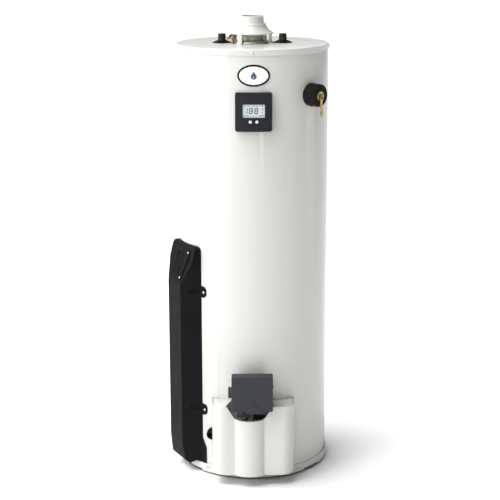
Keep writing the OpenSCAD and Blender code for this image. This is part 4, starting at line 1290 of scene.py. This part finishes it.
def threaded(name, r_root, r_bore, z0, z1, pitch, depth, sides=72, taper=0.0):
    """A tube with a helical thread outside."""
    rows = max(8, round((z1 - z0) / pitch * 8))
    rings = []
    for i in range(rows + 1):
        z = z0 + (z1 - z0) * i / rows
        ring = []
        for k in range(sides):
            turn = k / sides
            phase = ((z - z0) / pitch - turn) % 1.0
            ridge = 1 - abs(2 * phase - 1)
            fade = min(1.0, i / 3, (rows - i) / 3)
            r = r_root + depth * min(1.0, ridge * 1.25) * fade - taper * (z - z0)
            a = 2 * math.pi * turn
            ring.append((r * math.cos(a), r * math.sin(a), z))
        rings.append(ring)
    for z in (z1, z0):
        rings.append([(r_bore * math.cos(2 * math.pi * k / sides), r_bore * math.sin(2 * math.pi * k / sides), z)
                      for k in range(sides)])
    rings.append(rings[0])
    return loft(name, rings, capped=False)


# ---------- top fittings ----------


def make_water_fittings():
    for node, x in (("cold_nipple", -NIPPLE_X), ("hot_nipple", NIPPLE_X)):
        lo = low(node)
        hi = high(node)
        start = DECK_Z + 12 * MM
        plain = [(10.5 * MM, lo.z), (13.1 * MM, lo.z), (13.1 * MM, start + MM), (10.5 * MM, start + MM)]
        tube = lathe("tube", round_corners(plain, 0.3 * MM, 2), steps=64)
        # the pipe thread runs up to the end of the nipple
        thread = threaded("thread", 12.5 * MM, 10.5 * MM, start, hi.z, 1.814 * MM, 0.8 * MM)
        nipple = join(node + "_pipe", tube, thread)
        shift(nipple, x, 0, 0)
        place(nipple, "dark_nipple", node, angle=50)
    r = high("pipe_rosettes").x - NIPPLE_X
    profile = [(13.43 * MM, 0), (r, 0), (r, 1.2 * MM), (r - 2.5 * MM, 1.9 * MM), (19 * MM, 7 * MM), (17 * MM, 8 * MM),
               (13.43 * MM, 8 * MM)]
    discs = []
    for x in (-NIPPLE_X, NIPPLE_X):
        radii = [0, 0.2 * MM, 0.6 * MM, 1.5 * MM, 2 * MM, 1 * MM, 0.4 * MM]
        rosette = lathe("rosette", round_corners(profile, radii, 4))
        shift(rosette, x, 0, DECK_Z)
        discs.append(rosette)
    pair = join("rosette_pair", *discs)
    place(pair, "black_plastic", "pipe_rosettes")
    # the rosettes' near-black is partly their black plastic and partly painted shade round the pipes
    paint(pair, EXTRA["black_with_painted_shade"])


def make_hood():
    t = 1.2 * MM
    top = high("draft_hood").z
    vent_r = MOUNTS["vent_outlet"]["dims"]["r_mm"] * MM
    bell_r = high("draft_hood").x
    neck = 45.8 * MM
    lip = low("draft_hood").z
    bell = lip + 3 * MM
    flare = []
    for k in range(25):
        f = k / 24
        flare.append((neck + (bell_r - neck) * (1 - f) ** 1.8, bell + 28 * MM * f))
    outer = [(bell_r, lip)] + flare + [(neck, top - 27.5 * MM), (neck - 1.5 * MM, top - 25.5 * MM),
                                       (vent_r + 0.8 * MM, top - 23.5 * MM), (vent_r, top - 21.5 * MM),
                                       (vent_r, top - 0.6 * MM), (vent_r - 0.6 * MM, top)]
    inner = [(r - t, z - 0.4 * t * (i > 0)) for i, (r, z) in enumerate(outer)]
    inner[-1] = (vent_r - t, top)
    hood = lathe("draft_hood_bell", outer + list(reversed(inner)), steps=160)
    # rolled bead round the lip
    bead = []
    for k in range(10):
        a = 2 * math.pi * k / 10
        bead.append((bell_r - 0.75 * MM + 0.75 * MM * math.cos(a), lip + 0.9 * MM + 0.9 * MM * math.sin(a)))
    hood = join("draft_hood_bell", hood, lathe("bead", bead, steps=160))
    place(hood, "white_enamel", "draft_hood")

    legs = []
    for az in LEG_AZ:
        a = 6.8
        r = bell_r + 0.2 * MM
        height = high("hood_legs").z
        bracket = [(r, DECK_Z), (r + 11.8 * MM, DECK_Z), (r + 11.8 * MM, DECK_Z + 1.5 * MM),
                   (r + 1.5 * MM, DECK_Z + 1.5 * MM), (r + 1.5 * MM, height), (r, height)]
        radii = [2.2 * MM, 0.3 * MM, 0.3 * MM, 1.2 * MM, 0.4 * MM, 0.3 * MM]
        legs.append(lathe("leg", round_corners(bracket, radii, 4), az - a, az + a, 10))
        for z, d in ((DECK_Z + 28 * MM, r + 1.4 * MM),):
            legs.append(screw("head", facing(az, d, z), 2.6 * MM, 1.4 * MM))
        foot = at(az, r + 7 * MM, DECK_Z + 1.4 * MM)
        legs.append(screw("head", Matrix.Translation(foot), 2.6 * MM, 1.4 * MM))
    place(join("hood_bracket_set", *legs), "white_enamel", "hood_legs")


def make_damper():
    r = 41 * MM
    wall = 1.2 * MM
    z = DECK_Z
    shaft_z = JOINTS["damper_turn"]["pos_m"][2]
    profile = [(44 * MM, z), (68 * MM, z), (68 * MM, z + 2 * MM), (66 * MM, z + 7 * MM), (r, z + 8 * MM),
               (r, z + 24 * MM), (r - wall, z + 24 * MM), (r - wall, z + 6.5 * MM), (64.6 * MM, z + 5.5 * MM),
               (66 * MM, z + 1.5 * MM), (44 * MM, z + 1.5 * MM)]
    radii = [0.4 * MM, 0.8 * MM, 1 * MM, 2.4 * MM, 2 * MM, 0.5 * MM, 0.4 * MM, 1 * MM, 1 * MM, 0.4 * MM, 0.4 * MM]
    drum = lathe("drum", round_corners(profile, radii, 4), steps=144)
    # raised bead round the drum, broken at the shaft
    bead = [(r - 0.2 * MM, z + 19 * MM), (r + 0.9 * MM, z + 20 * MM), (r - 0.2 * MM, z + 21 * MM)]
    drum = join("drum", drum, lathe("bead", round_corners(bead, 0.6 * MM, 3), steps=144))
    for start, end in ((0.0365, 0.050), (-0.050, -0.0365)):
        cut(drum, rod("tool", (0, start, shaft_z), (0, end, shaft_z), 3.05 * MM))
    parts = [drum]
    # bearing plate in front, with a dark slot in it
    plate = prism("plate", round_corners(rectangle(30 * MM, 9 * MM), 2 * MM, 3), 1.2 * MM, edge=0.4 * MM)
    tool = prism("tool", disc(3.3 * MM, 32), 5 * MM)
    shift(tool, 0, 0, 2 * MM)
    cut(plate, tool)
    parts.append(moved(plate, in_front(0, -(r + 0.9 * MM), shaft_z)))
    for x in (-11, 11):
        parts.append(screw("head", in_front(x * MM, -(r + 0.8 * MM), shaft_z), 1.9 * MM, 1.1 * MM))
    for az in (-150, -90, -30, 30, 90, 150):
        spot = out(az) * 54 * MM + Vector((0, 0, z + 7.3 * MM))
        parts.append(screw("head", Matrix.Translation(spot), 2.8 * MM, 1.6 * MM))
    place(join("damper_drum", *parts), "galvanised_green", "damper_body")

    motor = refined("damper_motor", 1.6 * MM, 3)
    parts = [motor]
    for k in range(5):
        x = (-14 + 7 * k) * MM
        parts.append(block("rib", (x - 1.2 * MM, 0.0935, z + 8 * MM), (x + 1.2 * MM, 0.0948, z + 25 * MM), 0.3 * MM))
    for x in (-16, 16):
        for y in (58, 88):
            parts.append(screw("head", Matrix.Translation((x * MM, y * MM, z + 28.9 * MM)), 2.4 * MM, 1.2 * MM))
    place(join("damper_drive", *parts), "motor_case", "damper_motor")
    place(refined("damper_plate", 0.3 * MM), "galvanised", "damper_plate")
    place(refined("damper_shaft", 0.3 * MM), "stainless", "damper_shaft")


WIRE_ROUTES = (
    ("wire_green", ((-22, 74, 1476), (-46, 70, 1478), (-68, 50, 1476), (-78, 20, 1474), (-72, -6, 1482),
                    (-66, -24, 1482), (-65, -38, 1470), (-65, -40, 1452))),
    ("wire_brown", ((-22, 79, 1471), (-50, 76, 1472), (-73, 52, 1471), (-82, 20, 1468), (-76, -10, 1469),
                    (-68, -30, 1469), (-62, -38, 1462), (-62, -41, 1452))),
    ("wire_orange", ((-22, 84, 1466), (-54, 82, 1467), (-78, 54, 1467), (-86, 24, 1466), (-80, -14, 1466),
                     (-71, -34, 1464), (-66, -43, 1459), (-65, -43, 1452))),
)


def make_wires():
    for name, route in WIRE_ROUTES:
        wire = pipe(name, [tuple(v * MM for v in p) for p in route], 1.6 * MM, 16, 10)
        if name == "wire_green":
            place(wire, "wires", "damper_wires")
        else:
            place(wire, "wires")
            paint(wire, EXTRA[name])


for make in (make_jacket, make_top_cover, make_base, make_cover_screws, make_duct, make_duct_panel, make_duct_screws,
             make_intake_boot, make_burner_cover, make_gas_control, make_gas_line, make_display, make_badge,
             make_relief_valve, make_drain_valve, make_water_fittings, make_hood, make_damper, make_wires):
    make()

# ---------- camera, floor and light ----------

CAMERA_AT = (0, -4.748, 1.888)
CAMERA_YAW = -0.0020
CAMERA_PITCH = 0.2369
CAMERA_ROLL = -0.0025
CAMERA_LENS = 101.65


def make_camera():
    data = bpy.data.cameras.new("camera")
    data.lens = CAMERA_LENS
    data.sensor_width = 36
    data.clip_end = 200
    camera = bpy.data.objects.new("camera", data)
    bpy.context.scene.collection.objects.link(camera)
    flat = math.cos(CAMERA_PITCH)
    forward = Vector((math.sin(CAMERA_YAW) * flat, math.cos(CAMERA_YAW) * flat, -math.sin(CAMERA_PITCH)))
    right = Vector((math.cos(CAMERA_YAW), -math.sin(CAMERA_YAW), 0))
    up = right.cross(forward)
    c = math.cos(CAMERA_ROLL)
    s = math.sin(CAMERA_ROLL)
    turned = Matrix((right * c + up * s, up * c - right * s, -forward)).transposed().to_4x4()
    turned.translation = Vector(CAMERA_AT)
    camera.matrix_world = turned
    bpy.context.scene.camera = camera


def make_floor():
    half = 60
    floor = build("floor", [(-half, -half, 0), (half, -half, 0), (half, half, 0), (-half, half, 0)], [(0, 1, 2, 3)])
    floor.data.materials.append(finish("floor_white", (0.97, 0.97, 0.97), 0.75, vary=0.004, patch=2))


LIGHT_AZ = -78.0
LIGHT_UP = 0.2


def make_world():
    """A white studio whose light comes mostly from the left."""
    world = bpy.data.worlds.new("studio")
    bpy.context.scene.world = world
    world.use_nodes = True
    tree = world.node_tree
    coordinate = tree.nodes.new("ShaderNodeTexCoord")
    dot = tree.nodes.new("ShaderNodeVectorMath")
    dot.operation = "DOT_PRODUCT"
    dot.inputs[1].default_value = (out(LIGHT_AZ) + Vector((0, 0, LIGHT_UP))).normalized()
    level = tree.nodes.new("ShaderNodeMapRange")
    level.clamp = False
    level.inputs["From Min"].default_value = -1
    level.inputs["To Min"].default_value = -1.15
    level.inputs["To Max"].default_value = 1.45
    least = tree.nodes.new("ShaderNodeMath")
    least.operation = "MAXIMUM"
    least.inputs[1].default_value = 0.1
    tree.links.new(coordinate.outputs["Generated"], dot.inputs[0])
    tree.links.new(dot.outputs["Value"], level.inputs["Value"])
    tree.links.new(level.outputs["Result"], least.inputs[0])
    tree.links.new(least.outputs["Value"], tree.nodes["Background"].inputs["Strength"])
    tree.nodes["Background"].inputs["Color"].default_value = (1, 1, 1, 1)


def make_softbox(name, place_at, target, width, height, power):
    data = bpy.data.lights.new(name, "AREA")
    data.shape = "RECTANGLE"
    data.size = width
    data.size_y = height
    data.energy = power
    light = bpy.data.objects.new(name, data)
    bpy.context.scene.collection.objects.link(light)
    aim = Vector(target) - Vector(place_at)
    light.matrix_world = Matrix.Translation(Vector(place_at)) @ aim.to_track_quat("-Z", "Y").to_matrix().to_4x4()


def make_overhead(power):
    data = bpy.data.lights.new("overhead", "SUN")
    data.energy = power
    data.angle = math.radians(50)
    light = bpy.data.objects.new("overhead", data)
    bpy.context.scene.collection.objects.link(light)
    aim = -(out(LIGHT_AZ) + Vector((0, 0, 2.5)))
    light.matrix_world = aim.to_track_quat("-Z", "Y").to_matrix().to_4x4()


make_camera()
make_floor()
make_world()
make_overhead(2.9)
make_softbox("key", (-2.6, -2.6, 2.3), (0, 0, 0.8), 0.9, 2.4, 34)
make_softbox("back", (-0.4, 2.6, 3.0), (0, 0, 1.45), 2.6, 1.4, 38)
bpy.context.scene.view_settings.view_transform = "Standard"
